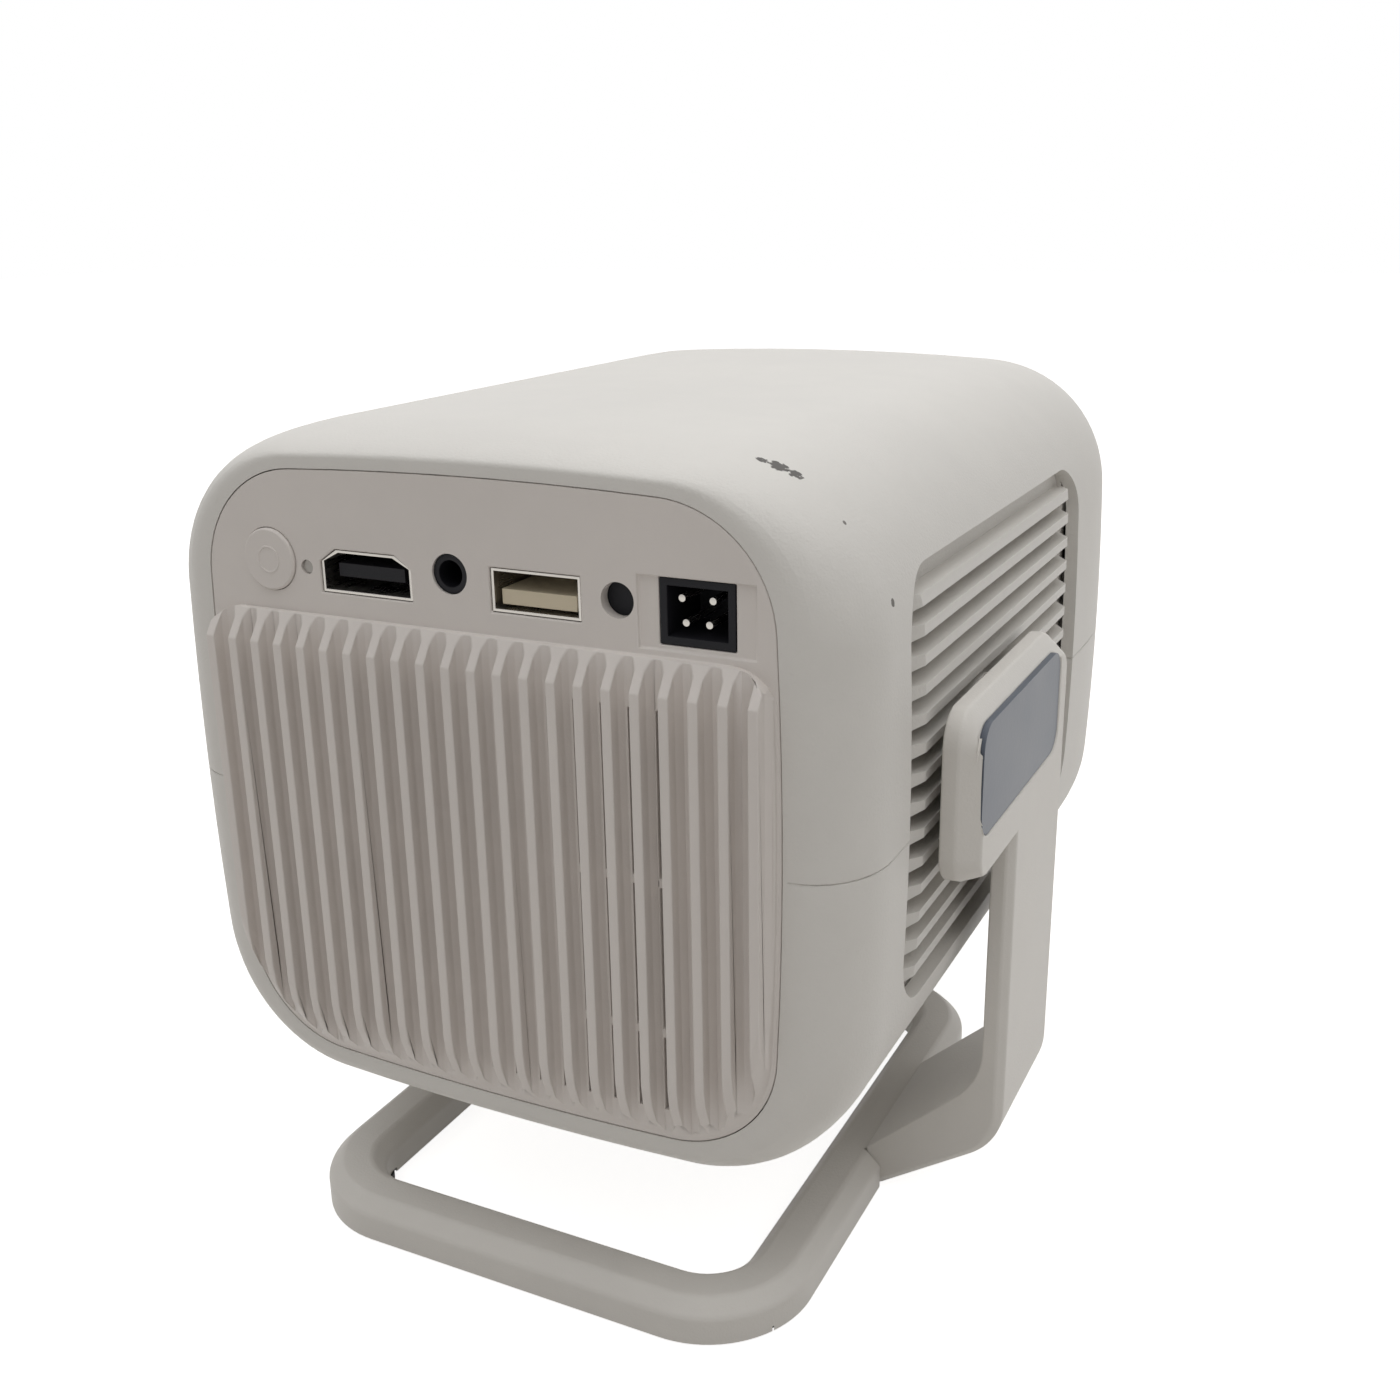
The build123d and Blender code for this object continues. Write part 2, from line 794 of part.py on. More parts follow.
def columns(places, radius, z_from, z_to, sides=0):
    """Columns standing at the places between two heights: round, or with a number of sides."""
    with BuildPart() as group:
        with BuildSketch(Plane.XY.offset(z_from)):
            with Locations(*places):
                if sides:
                    RegularPolygon(radius, sides)
                else:
                    Circle(radius)
        extrude(amount=z_to - z_from)
    return group.part


def side_webs(z_from, z_to):
    """The short webs that join the screw bosses to the side walls."""
    reach = body_half_width - boss_x
    with BuildPart() as group:
        for x, y in boss_places:
            middle = x + math.copysign(reach / 2, x)
            with Locations((middle, y, (z_from + z_to) / 2)):
                Box(reach, boss_web, z_to - z_from)
    return group.part


with BuildPart() as upper_bosses:
    add(columns(boss_places, boss_radius, parting_height, boss_top))
    add(side_webs(parting_height, boss_top))
    add(columns(board_places, board_boss_radius, socket_base, body_top))
    add(solid_form, mode=Mode.INTERSECT)
    add(both_sides(side_prism(side_seat, arm_outer, 0.0)), mode=Mode.SUBTRACT)

with BuildPart() as upper_shell:
    add(housing.part)
    split(bisect_by=Plane.XY.offset(parting_height), keep=Keep.TOP)
    add(upper_bosses.part)
    add(
        columns(boss_places, case_screw, parting_height, parting_height + case_screw_bite),
        mode=Mode.SUBTRACT,
    )
    add(
        columns(board_places, board_screw, socket_base, socket_base + board_screw_bite),
        mode=Mode.SUBTRACT,
    )

with BuildPart() as lower_bosses:
    add(columns(boss_places, boss_radius, body_bottom, parting_height))
    add(side_webs(body_middle - body_half_height, parting_height))
    add(columns(post_places, post_radius, body_bottom, engine_bottom))
    add(solid_form, mode=Mode.INTERSECT)
    add(both_sides(side_prism(side_seat, arm_outer, 0.0)), mode=Mode.SUBTRACT)

with BuildPart() as lower_shell:
    add(housing.part)
    split(bisect_by=Plane.XY.offset(parting_height), keep=Keep.BOTTOM)
    add(lower_bosses.part)
    add(
        columns(boss_places, case_screw + fit_gap, body_bottom, parting_height),
        mode=Mode.SUBTRACT,
    )
    add(
        columns(boss_places, case_screw_head + fit_gap, 0, parting_height - boss_seat_below),
        mode=Mode.SUBTRACT,
    )

with BuildPart() as case_screws:
    seat = parting_height - boss_seat_below
    tip = parting_height + case_screw_bite - fit_gap
    add(columns(boss_places, case_screw, seat, tip, screw_sides))
    add(columns(boss_places, case_screw_head, seat - case_screw_head_height, seat, screw_sides))

# ---- Rear panel: socket plate and finned grille in one moulding ----
def foot_face(share):
    """The grille's outline where its feet have risen by this share of their full rise."""
    half_width, bottom, top, corner = end_size(rear_end, 0.0)
    out = 1 - (1 - share) ** 2
    side = rim_side_band + seam + block_inset
    return ring_face(
        rear_y + out * fin_proud,
        half_width - side,
        bottom + rim_bottom_band + seam + block_inset + share * fin_foot_rise,
        top,
        corner - side,
    )


grille_width = fin_count * fin_pitch
crest_y = rear_y + fin_proud
root_y = rear_y - block_root
valley_half = (fin_pitch - fin_crest) / 2
valley_depth = fin_proud - block_proud
valley_outline = [
    (-valley_half, block_proud),
    (-valley_half, valley_flank - valley_depth),
    (-valley_floor / 2, -valley_depth),
    (valley_floor / 2, -valley_depth),
    (valley_half, valley_flank - valley_depth),
    (valley_half, block_proud),
]

with BuildPart() as feet:
    loft([foot_face(k / foot_steps) for k in range(foot_steps + 1)], ruled=True)
    extrude(foot_face(0.0), amount=block_root)

with BuildPart() as grille:
    with BuildSketch(Plane.XY.offset(body_bottom)):
        with Locations((0, (root_y + crest_y) / 2)):
            Rectangle(grille_width, crest_y - root_y)
        with Locations((0, crest_y)):
            with GridLocations(fin_pitch, 0, fin_count + 1, 1):
                Polygon(*valley_outline, align=None, mode=Mode.SUBTRACT)
    extrude(amount=lip_height - body_bottom)
    with BuildSketch(at_y(crest_y)):
        with Locations((0, lip_height - grille_width / 2)):
            RectangleRounded(grille_width, grille_width, block_corner)
    extrude(amount=crest_y - root_y, mode=Mode.INTERSECT)
    add(feet.part, mode=Mode.INTERSECT)
    with BuildSketch(Plane.YZ.offset(-grille_width / 2)):
        with BuildLine():
            Polyline(
                (rear_y + block_proud, lip_height),
                (crest_y, lip_height - fin_top_slope),
                (crest_y, lip_height),
                close=True,
            )
        make_face()
    extrude(amount=grille_width, mode=Mode.SUBTRACT)

vent_limits = [vent_bottom, *sorted(vent_rib_heights), vent_top]
vent_columns = [(fin_count / 2 - 1 - k) * fin_pitch for k in range(vent_count)]
with BuildPart() as vents:
    with BuildSketch(at_y(rear_y + 2 * block_proud)):
        for low, high in zip(vent_limits, vent_limits[1:]):
            with Locations(*[(x, (low + high) / 2) for x in vent_columns]):
                Rectangle(vent_width, high - low - vent_rib)
    extrude(amount=panel_thickness + 2 * block_proud)
    extrude(rear_face(vent_margin, crest_y), amount=crest_y - panel_back_y, mode=Mode.INTERSECT)

fan_holes = [
    (fan_x + sx * fan_hole_pitch / 2, fan_z + sz * fan_hole_pitch / 2)
    for sx in (-1, 1)
    for sz in (-1, 1)
]
video_z = socket_base + video_height / 2
data_z = socket_base + data_height / 2
power_z = power_bottom + power_height / 2


def video_outline(grow):
    """The video socket's outline: a rectangle whose two upper corners are cut off."""
    low = socket_base - grow
    high = socket_base + video_height + grow
    half = video_width / 2 + grow
    half_top = video_top_width / 2 + grow
    side = socket_base + video_side_height
    return [
        (video_x - half, low),
        (video_x + half, low),
        (video_x + half, side),
        (video_x + half_top, high),
        (video_x - half_top, high),
        (video_x - half, side),
    ]


with BuildPart() as rear_panel:
    extrude(rear_face(seam, rear_y), amount=panel_thickness)
    add(grille.part)
    add(vents.part, mode=Mode.SUBTRACT)
    with BuildSketch(at_y(panel_back_y)):
        with Locations(*fan_holes):
            Circle(fan_peg_radius)
    extrude(amount=panel_back_y - fan_rear_y)
    with BuildSketch(at_y(panel_back_y + fan_screw_bite)):
        with Locations(*fan_holes):
            Circle(fan_screw)
    extrude(amount=fan_screw_bite + panel_back_y - fan_rear_y, mode=Mode.SUBTRACT)
    with BuildSketch(at_y(rear_y)):
        with Locations((power_x, power_z - power_recess_drop / 2)):
            Rectangle(
                power_width + 2 * power_recess_side,
                power_height + power_recess_drop + 2 * socket_clearance,
            )
    extrude(amount=power_sunk, mode=Mode.SUBTRACT)
    with BuildSketch(at_y(rear_y)):
        with Locations((button_x, button_z)):
            Circle(button_radius + button_clearance)
        with Locations((light_x, light_z)):
            Circle(light_radius + socket_clearance)
        with BuildLine():
            Polyline(*video_outline(socket_clearance), close=True)
        make_face()
        with Locations((jack_x, jack_z)):
            Circle(jack_nozzle + socket_clearance)
        with Locations((data_x, data_z)):
            Rectangle(data_width + 2 * socket_clearance, data_height + 2 * socket_clearance)
        with Locations((ir_x, ir_z)):
            Circle(ir_radius)
        with Locations((power_x, power_z)):
            Rectangle(power_width + 2 * socket_clearance, power_height + 2 * socket_clearance)
    extrude(amount=panel_thickness, mode=Mode.SUBTRACT)

# ---- Side grilles: louvred inserts with a hub for the pivot bush ----
louvre_rear_y = side_recess_y + side_recess_length / 2 - louvre_end_margin
louvre_front_y = side_recess_y - side_recess_length / 2 + louvre_end_margin

with BuildPart() as louvres:
    with BuildSketch(at_y(rear_y - side_recess_rear)):
        for k in range(louvre_count):
            low = louvre_first + k * louvre_pitch
            with BuildLine():
                Polyline(
                    (side_seat + side_base / 2, low),
                    (side_seat + side_base, low),
                    (body_half_width, low + louvre_base - louvre_crest),
                    (body_half_width, low + louvre_base),
                    (side_seat + side_base, low + louvre_base),
                    (side_seat + side_base / 2, low + louvre_base),
                    close=True,
                )
            make_face()
    extrude(amount=side_recess_length)
    with BuildSketch(Plane.XY):
        with BuildLine():
            Polyline(
                (side_seat, louvre_front_y),
                (side_seat, louvre_rear_y),
                (side_seat + side_base, louvre_rear_y),
                (body_half_width, louvre_rear_y - louvre_end_slope),
                (body_half_width, louvre_front_y + louvre_end_slope),
                (side_seat + side_base, louvre_front_y),
                close=True,
            )
        make_face()
    extrude(amount=body_top, mode=Mode.INTERSECT)
    add(side_prism(side_seat, body_half_width, -louvre_end_margin), mode=Mode.INTERSECT)
    add(straight_form(louvre_margin), mode=Mode.INTERSECT)

slot_places = [
    (
        side_seat + side_base / 2,
        side_recess_y,
        louvre_first + k * louvre_pitch - (louvre_pitch - louvre_base) / 2,
    )
    for k in range(1, louvre_count)
]
with BuildPart() as left_side_grille:
    add(side_prism(side_seat, side_seat + side_base, -seam))
    add(louvres.part)
    with Locations(*slot_places):
        Box(2 * side_base, side_recess_length - 2 * side_slot_end, side_slot, mode=Mode.SUBTRACT)
    with BuildSketch(Plane.YZ.offset(plate_face)):
        with Locations((pivot_y, body_middle)):
            Circle(hub_radius)
    extrude(amount=pivot_boss_length)
    with BuildSketch(Plane.YZ.offset(plate_face + pivot_boss_length)):
        with Locations((pivot_y, body_middle)):
            Circle(bush_flange + rest_gap)
    extrude(amount=body_half_width - plate_face - pivot_boss_length, mode=Mode.SUBTRACT)
    with BuildSketch(Plane.YZ.offset(plate_face)):
        with Locations((pivot_y, body_middle)):
            Circle(bush_radius + fit_gap)
    extrude(amount=body_half_width - plate_face, mode=Mode.SUBTRACT)

# ---- Front panel and focusing lens ----
bezel_front_y = front_y - bezel_proud
focus_front_y = bezel_front_y + focus_sunk
focus_back_y = focus_front_y + focus_thickness
barrel_front_y = bezel_front_y + barrel_sunk
barrel_back_y = barrel_front_y + barrel_length
bezel_back_y = front_y + bezel_depth
lens_axis = (0.0, body_middle)

with BuildPart() as front_panel:
    extrude(front_face(seam, front_y), amount=-front_panel_thickness)
    add(
        drum(front_y + front_panel_thickness, front_panel_thickness, bezel_radius + seam, lens_axis),
        mode=Mode.SUBTRACT,
    )

with BuildPart() as lens_bezel:
    add(drum(bezel_back_y, bezel_depth, bezel_radius, lens_axis))
    add(drum(front_y, bezel_proud, bezel_flange, lens_axis))
    add(
        drum(bezel_back_y - bezel_lip, body_depth, focus_radius + rest_gap, lens_axis),
        mode=Mode.SUBTRACT,
    )
    add(drum(bezel_back_y, bezel_depth, focus_radius - bezel_lip, lens_axis), mode=Mode.SUBTRACT)
    front_circles = lens_bezel.edges().filter_by(GeomType.CIRCLE).group_by(Axis.Y)[0]
    chamfer(front_circles.sort_by(SortBy.RADIUS)[-1], length=bezel_proud - rest_gap)

focus_bore = barrel_radius + focus_clearance
grip_outline = [(0, -focus_grip_width / 2), (-focus_grip_depth, 0), (0, focus_grip_width / 2)]
with BuildPart() as focus_ring:
    add(drum(focus_back_y, focus_thickness, focus_radius, lens_axis, focus_bore))
    with BuildSketch(at_y(focus_front_y + focus_grip_length)):
        with Locations(lens_axis):
            with PolarLocations(focus_radius, focus_grips):
                Polygon(*grip_outline, align=None)
    extrude(amount=focus_grip_length, mode=Mode.SUBTRACT)

barrel_bore = barrel_radius - barrel_wall
with BuildPart() as lens_barrel:
    add(drum(barrel_back_y, barrel_length, barrel_radius, lens_axis, barrel_bore))
    lip_back_y = barrel_front_y + lens_sunk + front_lens_thickness + barrel_lip
    add(drum(lip_back_y, barrel_lip, barrel_radius, lens_axis, barrel_bore - barrel_wall))


def lens(front, thickness, bulge, radius):
    """A lens about the optical axis, flat behind, its bulging front drawn with a flat middle."""
    back = front + thickness
    with BuildPart() as piece:
        with BuildSketch(Plane.YZ):
            with BuildLine():
                Polyline(
                    (front, body_middle),
                    (front, body_middle + lens_centre * radius),
                    (front + bulge, body_middle + radius),
                    (back, body_middle + radius),
                    (back, body_middle),
                    close=True,
                )
            make_face()
        revolve(axis=Axis((0, 0, body_middle), (0, 1, 0)))
    return piece.part


lens_radius = barrel_bore - fit_gap
with BuildPart() as front_lens:
    add(lens(barrel_front_y + lens_sunk, front_lens_thickness, lens_bulge, lens_radius))

rear_lens_y = barrel_back_y - lens_sunk - rear_lens_thickness
with BuildPart() as rear_lens:
    add(lens(rear_lens_y, rear_lens_thickness, lens_bulge, lens_radius))

# ---- Optical engine: a box with the light at the rear and the lens collar in front ----
engine_y = (engine_front, engine_rear)

with BuildPart() as optical_engine:
    add(slab((-engine_half_width, engine_half_width), engine_y, (engine_bottom, engine_top)))
    add(
        slab(
            (engine_wall - engine_half_width, engine_half_width - engine_wall),
            (engine_front + engine_wall, engine_rear),
            (engine_bottom + engine_wall, engine_top - engine_wall),
        ),
        mode=Mode.SUBTRACT,
    )
    collar_bore = barrel_radius + barrel_clearance
    add(drum(engine_front, collar_length, collar_bore + collar_wall, lens_axis))
    add(
        drum(engine_front + engine_wall, engine_wall + collar_length, collar_bore, lens_axis),
        mode=Mode.SUBTRACT,
    )

with BuildPart() as led_board:
    add(slab(
        (-led_board_size / 2, led_board_size / 2),
        (engine_rear, engine_rear + led_board_thickness),
        (body_middle - led_board_size / 2, body_middle + led_board_size / 2),
    ))
    add(slab(
        (-led_chip / 2, led_chip / 2),
        (engine_rear - led_chip_height, engine_rear),
        (body_middle - led_chip / 2, body_middle + led_chip / 2),
    ))

sink_front_y = engine_rear + led_board_thickness
sink_back_y = sink_front_y + sink_base + sink_fin_depth
with BuildPart() as led_heatsink:
    add(slab(
        (-sink_width / 2, sink_width / 2),
        (sink_front_y, sink_front_y + sink_base),
        (body_middle - sink_height / 2, body_middle + sink_height / 2),
    ))
    sink_step = (sink_width - sink_fin) / (sink_fin_count - 1)
    with Locations((0, (sink_front_y + sink_base + sink_back_y) / 2, body_middle)):
        with GridLocations(sink_step, 0, sink_fin_count, 1):
            Box(sink_fin, sink_fin_depth, sink_height)


def inner_plate(y, thickness):
    """A plate that fills the optical engine's inside."""
    half_x = engine_half_width - engine_wall - optic_gap
    half_z = engine_half_height - engine_wall - optic_gap
    return slab((-half_x, half_x), (y, y + thickness), (body_middle - half_z, body_middle + half_z))


with BuildPart() as condenser_lens:
    condenser_radius = engine_half_height - engine_wall - optic_gap
    add(lens(condenser_y, condenser_thickness, lens_bulge, condenser_radius))

with BuildPart() as lcd_panel:
    add(inner_plate(lcd_y, lcd_thickness))

with BuildPart() as field_lens:
    add(inner_plate(field_lens_y, field_lens_thickness))

# ---- Main board with its sockets ----
with BuildPart() as main_board:
    board_x = (-board_half_width, board_half_width)
    add(slab(board_x, (board_front, board_rear), (board_bottom, socket_base)))
    power_half = power_width / 2 + rest_gap
    add(
        slab(
            (power_x - power_half, power_x + power_half),
            (rear_y - power_sunk - power_length - rest_gap, rear_y),
            (0, body_top),
        ),
        mode=Mode.SUBTRACT,
    )
    add(columns(board_places, board_screw + fit_gap, board_bottom, socket_base), mode=Mode.SUBTRACT)

with BuildPart() as board_screws:
    board_screw_tip = socket_base + board_screw_bite - fit_gap
    head_bottom = board_bottom - board_screw_head_height
    add(columns(board_places, board_screw, board_bottom, board_screw_tip, screw_sides))
    add(columns(board_places, board_screw_head, head_bottom, board_bottom, screw_sides))

switch_rear_y = switch_front_y + switch_depth
switch_nub_y = switch_rear_y + switch_nub_length
with BuildPart() as button_switch:
    add(slab(
        (button_x - switch_width / 2, button_x + switch_width / 2),
        (switch_front_y, switch_rear_y),
        (socket_base, button_z + switch_width / 2),
    ))
    add(drum(switch_nub_y, switch_nub_length, switch_nub, (button_x, button_z)))

button_axis = (button_x, button_z)
stem_back = panel_back_y - button_float
stem_length = stem_back - switch_nub_y - button_travel - button_float
with BuildPart() as power_button:
    add(drum(rear_y + button_proud, rear_y + button_proud - stem_back, button_radius, button_axis))
    add(drum(stem_back, button_flange_thickness, button_flange, button_axis))
    add(drum(stem_back, stem_length, button_stem, button_axis))
    button_rim = power_button.edges().filter_by(GeomType.CIRCLE).sort_by(Axis.Y)[-1]
    chamfer(button_rim, length=button_proud / 2)

light_back_y = rear_y - light_sunk - panel_thickness
with BuildPart() as status_light:
    add(drum(rear_y - light_sunk, panel_thickness, light_radius, (light_x, light_z)))
    add(slab(
        (light_x - light_body / 2, light_x + light_body / 2),
        (light_back_y - light_body, light_back_y),
        (socket_base, light_z + light_body / 2),
    ))

socket_face_y = rear_y - socket_sunk


def socket_prism(grow, y, length):
    """The video socket's outline grown by an amount, drawn forwards from y."""
    with BuildPart() as prism:
        with BuildSketch(at_y(y)):
            with BuildLine():
                Polyline(*video_outline(grow), close=True)
            make_face()
        extrude(amount=length)
    return prism.part


def data_prism(grow, y, length):
    """The data socket's outline grown by an amount, drawn forwards from y."""
    with BuildPart() as prism:
        with BuildSketch(at_y(y)):
            with Locations((data_x, data_z)):
                Rectangle(data_width + 2 * grow, data_height + 2 * grow)
        extrude(amount=length)
    return prism.part


with BuildPart() as video_socket:
    add(socket_prism(0.0, socket_face_y, video_length))
    add(socket_prism(-sheet, socket_face_y, video_length), mode=Mode.SUBTRACT)

with BuildPart() as video_tongue:
    add(socket_prism(-sheet, socket_face_y - video_length + socket_back, socket_back))
    add(slab(
        (video_x - video_tongue_width / 2, video_x + video_tongue_width / 2),
        (socket_face_y - video_length, socket_face_y - video_tongue_sunk),
        (video_z - video_tongue_thickness / 2, video_z + video_tongue_thickness / 2),
    ))

with BuildPart() as data_socket:
    add(data_prism(0.0, socket_face_y, data_length))
    add(data_prism(-sheet, socket_face_y, data_length), mode=Mode.SUBTRACT)

data_tongue_low = socket_base + sheet + data_tongue_lift
with BuildPart() as data_tongue:
    add(data_prism(-sheet, socket_face_y - data_length + socket_back, socket_back))
    add(slab(
        (data_x - data_tongue_width / 2, data_x + data_tongue_width / 2),
        (socket_face_y - data_length, socket_face_y - data_tongue_sunk),
        (data_tongue_low, data_tongue_low + data_tongue_thickness),
    ))

with BuildPart() as audio_jack:
    jack_front_y = rear_y - panel_thickness - jack_gap
    add(slab(
        (jack_x - jack_width / 2, jack_x + jack_width / 2),
        (jack_front_y - jack_length, jack_front_y),
        (socket_base, jack_top),
    ))
    nozzle_tip_y = jack_front_y + jack_nozzle_length
    add(drum(nozzle_tip_y, jack_nozzle_length, jack_nozzle, (jack_x, jack_z)))
    add(drum(nozzle_tip_y, jack_bore_length, jack_bore, (jack_x, jack_z)), mode=Mode.SUBTRACT)

with BuildPart() as ir_window:
    add(drum(rear_y - ir_sunk, ir_thickness, ir_radius - fit_gap, (ir_x, ir_z)))
    add(slab(
        (ir_x - ir_block / 2, ir_x + ir_block / 2),
        (rear_y - ir_sunk - ir_thickness - ir_block / 2, rear_y - ir_sunk - ir_thickness),
        (socket_base, ir_z + ir_block / 2),
    ))

power_face_y = rear_y - power_sunk
with BuildPart() as power_socket:
    with BuildSketch(at_y(power_face_y)):
        with Locations((power_x, power_z)):
            Rectangle(power_width, power_height)
    extrude(amount=power_length)
    with BuildSketch(at_y(power_face_y)):
        with Locations((power_x, power_z)):
            Rectangle(power_width - 2 * power_wall, power_height - 2 * power_wall)
    extrude(amount=power_length - power_wall, mode=Mode.SUBTRACT)

pin_places = [
    (power_x + side * width / 2, height)
    for width, height in ((pin_width_upper, pin_height_upper), (pin_width_lower, pin_height_lower))
    for side in (-1, 1)
]
with BuildPart() as power_pins:
    with BuildSketch(at_y(power_face_y - power_pin_sunk)):
        with Locations(*pin_places):
            Circle(power_pin_radius)
    extrude(amount=power_length - power_wall - power_pin_sunk)

# ---- Fan ----
fan_axis = (fan_x, fan_z)
fan_front_y = fan_rear_y - fan_depth
with BuildPart() as fan_frame:
    with BuildSketch(at_y(fan_rear_y)):
        with Locations(fan_axis):
            RectangleRounded(fan_size, fan_size, fan_corner)
            Circle(fan_duct, mode=Mode.SUBTRACT)
        with Locations(*fan_holes):
            Circle(fan_hole, mode=Mode.SUBTRACT)
    extrude(amount=fan_depth)
    with BuildSketch(at_y(fan_front_y + fan_hub_plate)):
        with Locations(fan_axis):
            Circle(fan_hub)
            with PolarLocations(0, 4, start_angle=45):
                with Locations((fan_duct / 2, 0)):
                    Rectangle(fan_duct + fan_spoke / 2, fan_spoke)
    extrude(amount=fan_hub_plate)
    add(drum(fan_front_y + fan_post_length, fan_post_length, fan_post, fan_axis))
    add(drum(fan_rear_y, fan_depth, fan_shaft + fan_shaft_clearance, fan_axis), mode=Mode.SUBTRACT)

rotor_front_y = fan_front_y + fan_hub_plate + rest_gap
rotor_rear_y = fan_rear_y - rest_gap
rotor_mid_y = (rotor_front_y + rotor_rear_y) / 2
with BuildPart() as fan_rotor:
    add(drum(rotor_rear_y, rotor_rear_y - rotor_front_y, fan_hub, fan_axis))
    add(
        drum(rotor_rear_y - fan_cup, rotor_rear_y - rotor_front_y, fan_hub - fan_cup, fan_axis),
        mode=Mode.SUBTRACT,
    )
    add(drum(rotor_rear_y - fan_cup, rotor_rear_y - fan_cup - fan_front_y, fan_shaft, fan_axis))
    blade_root = (fan_hub + fan_duct - fan_tip_gap) / 2
    blade_length = fan_duct - fan_tip_gap - fan_hub + 2 * fan_blade_sink
    for k in range(fan_blades):
        around = Location((fan_x, rotor_mid_y, fan_z), (0, 360 * k / fan_blades, 0))
        with Locations(around):
            with Locations(Location((blade_root - fan_blade_sink, 0, 0), (fan_blade_twist, 0, 0))):
                Box(blade_length, fan_blade_chord, fan_blade_thickness)

with BuildPart() as fan_screws:
    with BuildSketch(at_y(panel_back_y + fan_screw_bite - fit_gap)):
        with Locations(*fan_holes):
            RegularPolygon(fan_screw, screw_sides)
    extrude(amount=panel_back_y + fan_screw_bite - fit_gap - fan_front_y)
    with BuildSketch(at_y(fan_front_y)):
        with Locations(*fan_holes):
            RegularPolygon(fan_screw_head, screw_sides)
    extrude(amount=fan_screw_head_height)

# ---- Speakers, seated on the backs of the side grilles ----
speaker_back_x = side_seat - speaker_depth
with BuildPart() as left_speaker:
    with BuildSketch(Plane.XY.offset(speaker_z)):
        with BuildLine():
            Polyline(
                (speaker_back_x, speaker_y),
                (speaker_back_x, speaker_y + speaker_magnet),
                (speaker_back_x + speaker_magnet_depth, speaker_y + speaker_magnet),
                (side_seat - speaker_rim, speaker_y + speaker_radius),
                (side_seat, speaker_y + speaker_radius),
                (side_seat, speaker_y + speaker_radius - speaker_rim_width),
                (side_seat - speaker_cone_centre, speaker_y),
                close=True,
            )
        make_face()
    revolve(axis=Axis((0, speaker_y, speaker_z), (1, 0, 0)))


def mirrored(piece):
    """The right-hand twin of a left-hand piece."""
    with BuildPart() as twin:
        add(mirror(piece.part, about=Plane.YZ))
    return twin


# ---- Write the pieces ----
pieces = {
    "base_loop": base_loop,
    "foot_pads": foot_pads,
    "arm_screws": arm_screws,
    "upper_shell": upper_shell,
    "lower_shell": lower_shell,
    "rear_panel": rear_panel,
    "front_panel": front_panel,
    "lens_bezel": lens_bezel,
    "focus_ring": focus_ring,
    "lens_barrel": lens_barrel,
    "front_lens": front_lens,
    "rear_lens": rear_lens,
    "optical_engine": optical_engine,
    "condenser_lens": condenser_lens,
    "lcd_panel": lcd_panel,
    "field_lens": field_lens,
    "led_board": led_board,
    "led_heatsink": led_heatsink,
    "main_board": main_board,
    "board_screws": board_screws,
    "button_switch": button_switch,
    "power_button": power_button,
    "status_light": status_light,
    "video_socket": video_socket,
    "video_tongue": video_tongue,
    "audio_jack": audio_jack,
    "data_socket": data_socket,
    "data_tongue": data_tongue,
    "ir_window": ir_window,
    "power_socket": power_socket,
    "power_pins": power_pins,
    "fan_frame": fan_frame,
    "fan_rotor": fan_rotor,
    "fan_screws": fan_screws,
    "case_screws": case_screws,
}
for kind, piece in {
    "arm": left_arm,
    "window": left_window,
    "pivot_pin": left_pivot_pin,
    "friction_washer": left_friction_washer,
    "pivot_bush": left_pivot_bush,
    "pivot_plate": left_pivot_plate,
    "side_grille": left_side_grille,
    "speaker": left_speaker,
}.items():
    pieces[f"left_{kind}"] = piece
    pieces[f"right_{kind}"] = mirrored(piece)

os.makedirs("parts", exist_ok=True)
for name, piece in pieces.items():
    piece.part.label = name
    export_step(piece.part, f"parts/{name}.step")
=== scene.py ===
"""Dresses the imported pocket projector: finishes, rounded copies, button ring and studio."""

import json
import logging
import math
from dataclasses import dataclass, field
from enum import Enum

import bmesh
import bpy
from mathutils import Matrix, Vector

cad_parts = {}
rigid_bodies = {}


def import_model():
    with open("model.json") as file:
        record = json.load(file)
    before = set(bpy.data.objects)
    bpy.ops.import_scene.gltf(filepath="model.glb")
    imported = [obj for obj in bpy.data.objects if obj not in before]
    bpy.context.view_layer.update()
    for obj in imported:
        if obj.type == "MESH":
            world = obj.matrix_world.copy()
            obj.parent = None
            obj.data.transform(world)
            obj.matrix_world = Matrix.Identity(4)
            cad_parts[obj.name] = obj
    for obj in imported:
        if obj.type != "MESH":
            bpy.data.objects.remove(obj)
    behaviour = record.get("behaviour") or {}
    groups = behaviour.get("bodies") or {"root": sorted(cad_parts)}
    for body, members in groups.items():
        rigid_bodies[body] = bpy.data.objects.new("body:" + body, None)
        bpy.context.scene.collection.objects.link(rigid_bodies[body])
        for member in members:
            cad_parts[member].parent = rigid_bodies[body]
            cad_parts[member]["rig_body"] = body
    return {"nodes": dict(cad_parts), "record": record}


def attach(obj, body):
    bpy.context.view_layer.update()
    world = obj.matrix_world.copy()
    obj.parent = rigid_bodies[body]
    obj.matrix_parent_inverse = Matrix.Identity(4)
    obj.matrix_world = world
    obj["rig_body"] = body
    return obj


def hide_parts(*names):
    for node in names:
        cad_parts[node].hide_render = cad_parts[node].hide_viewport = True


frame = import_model()

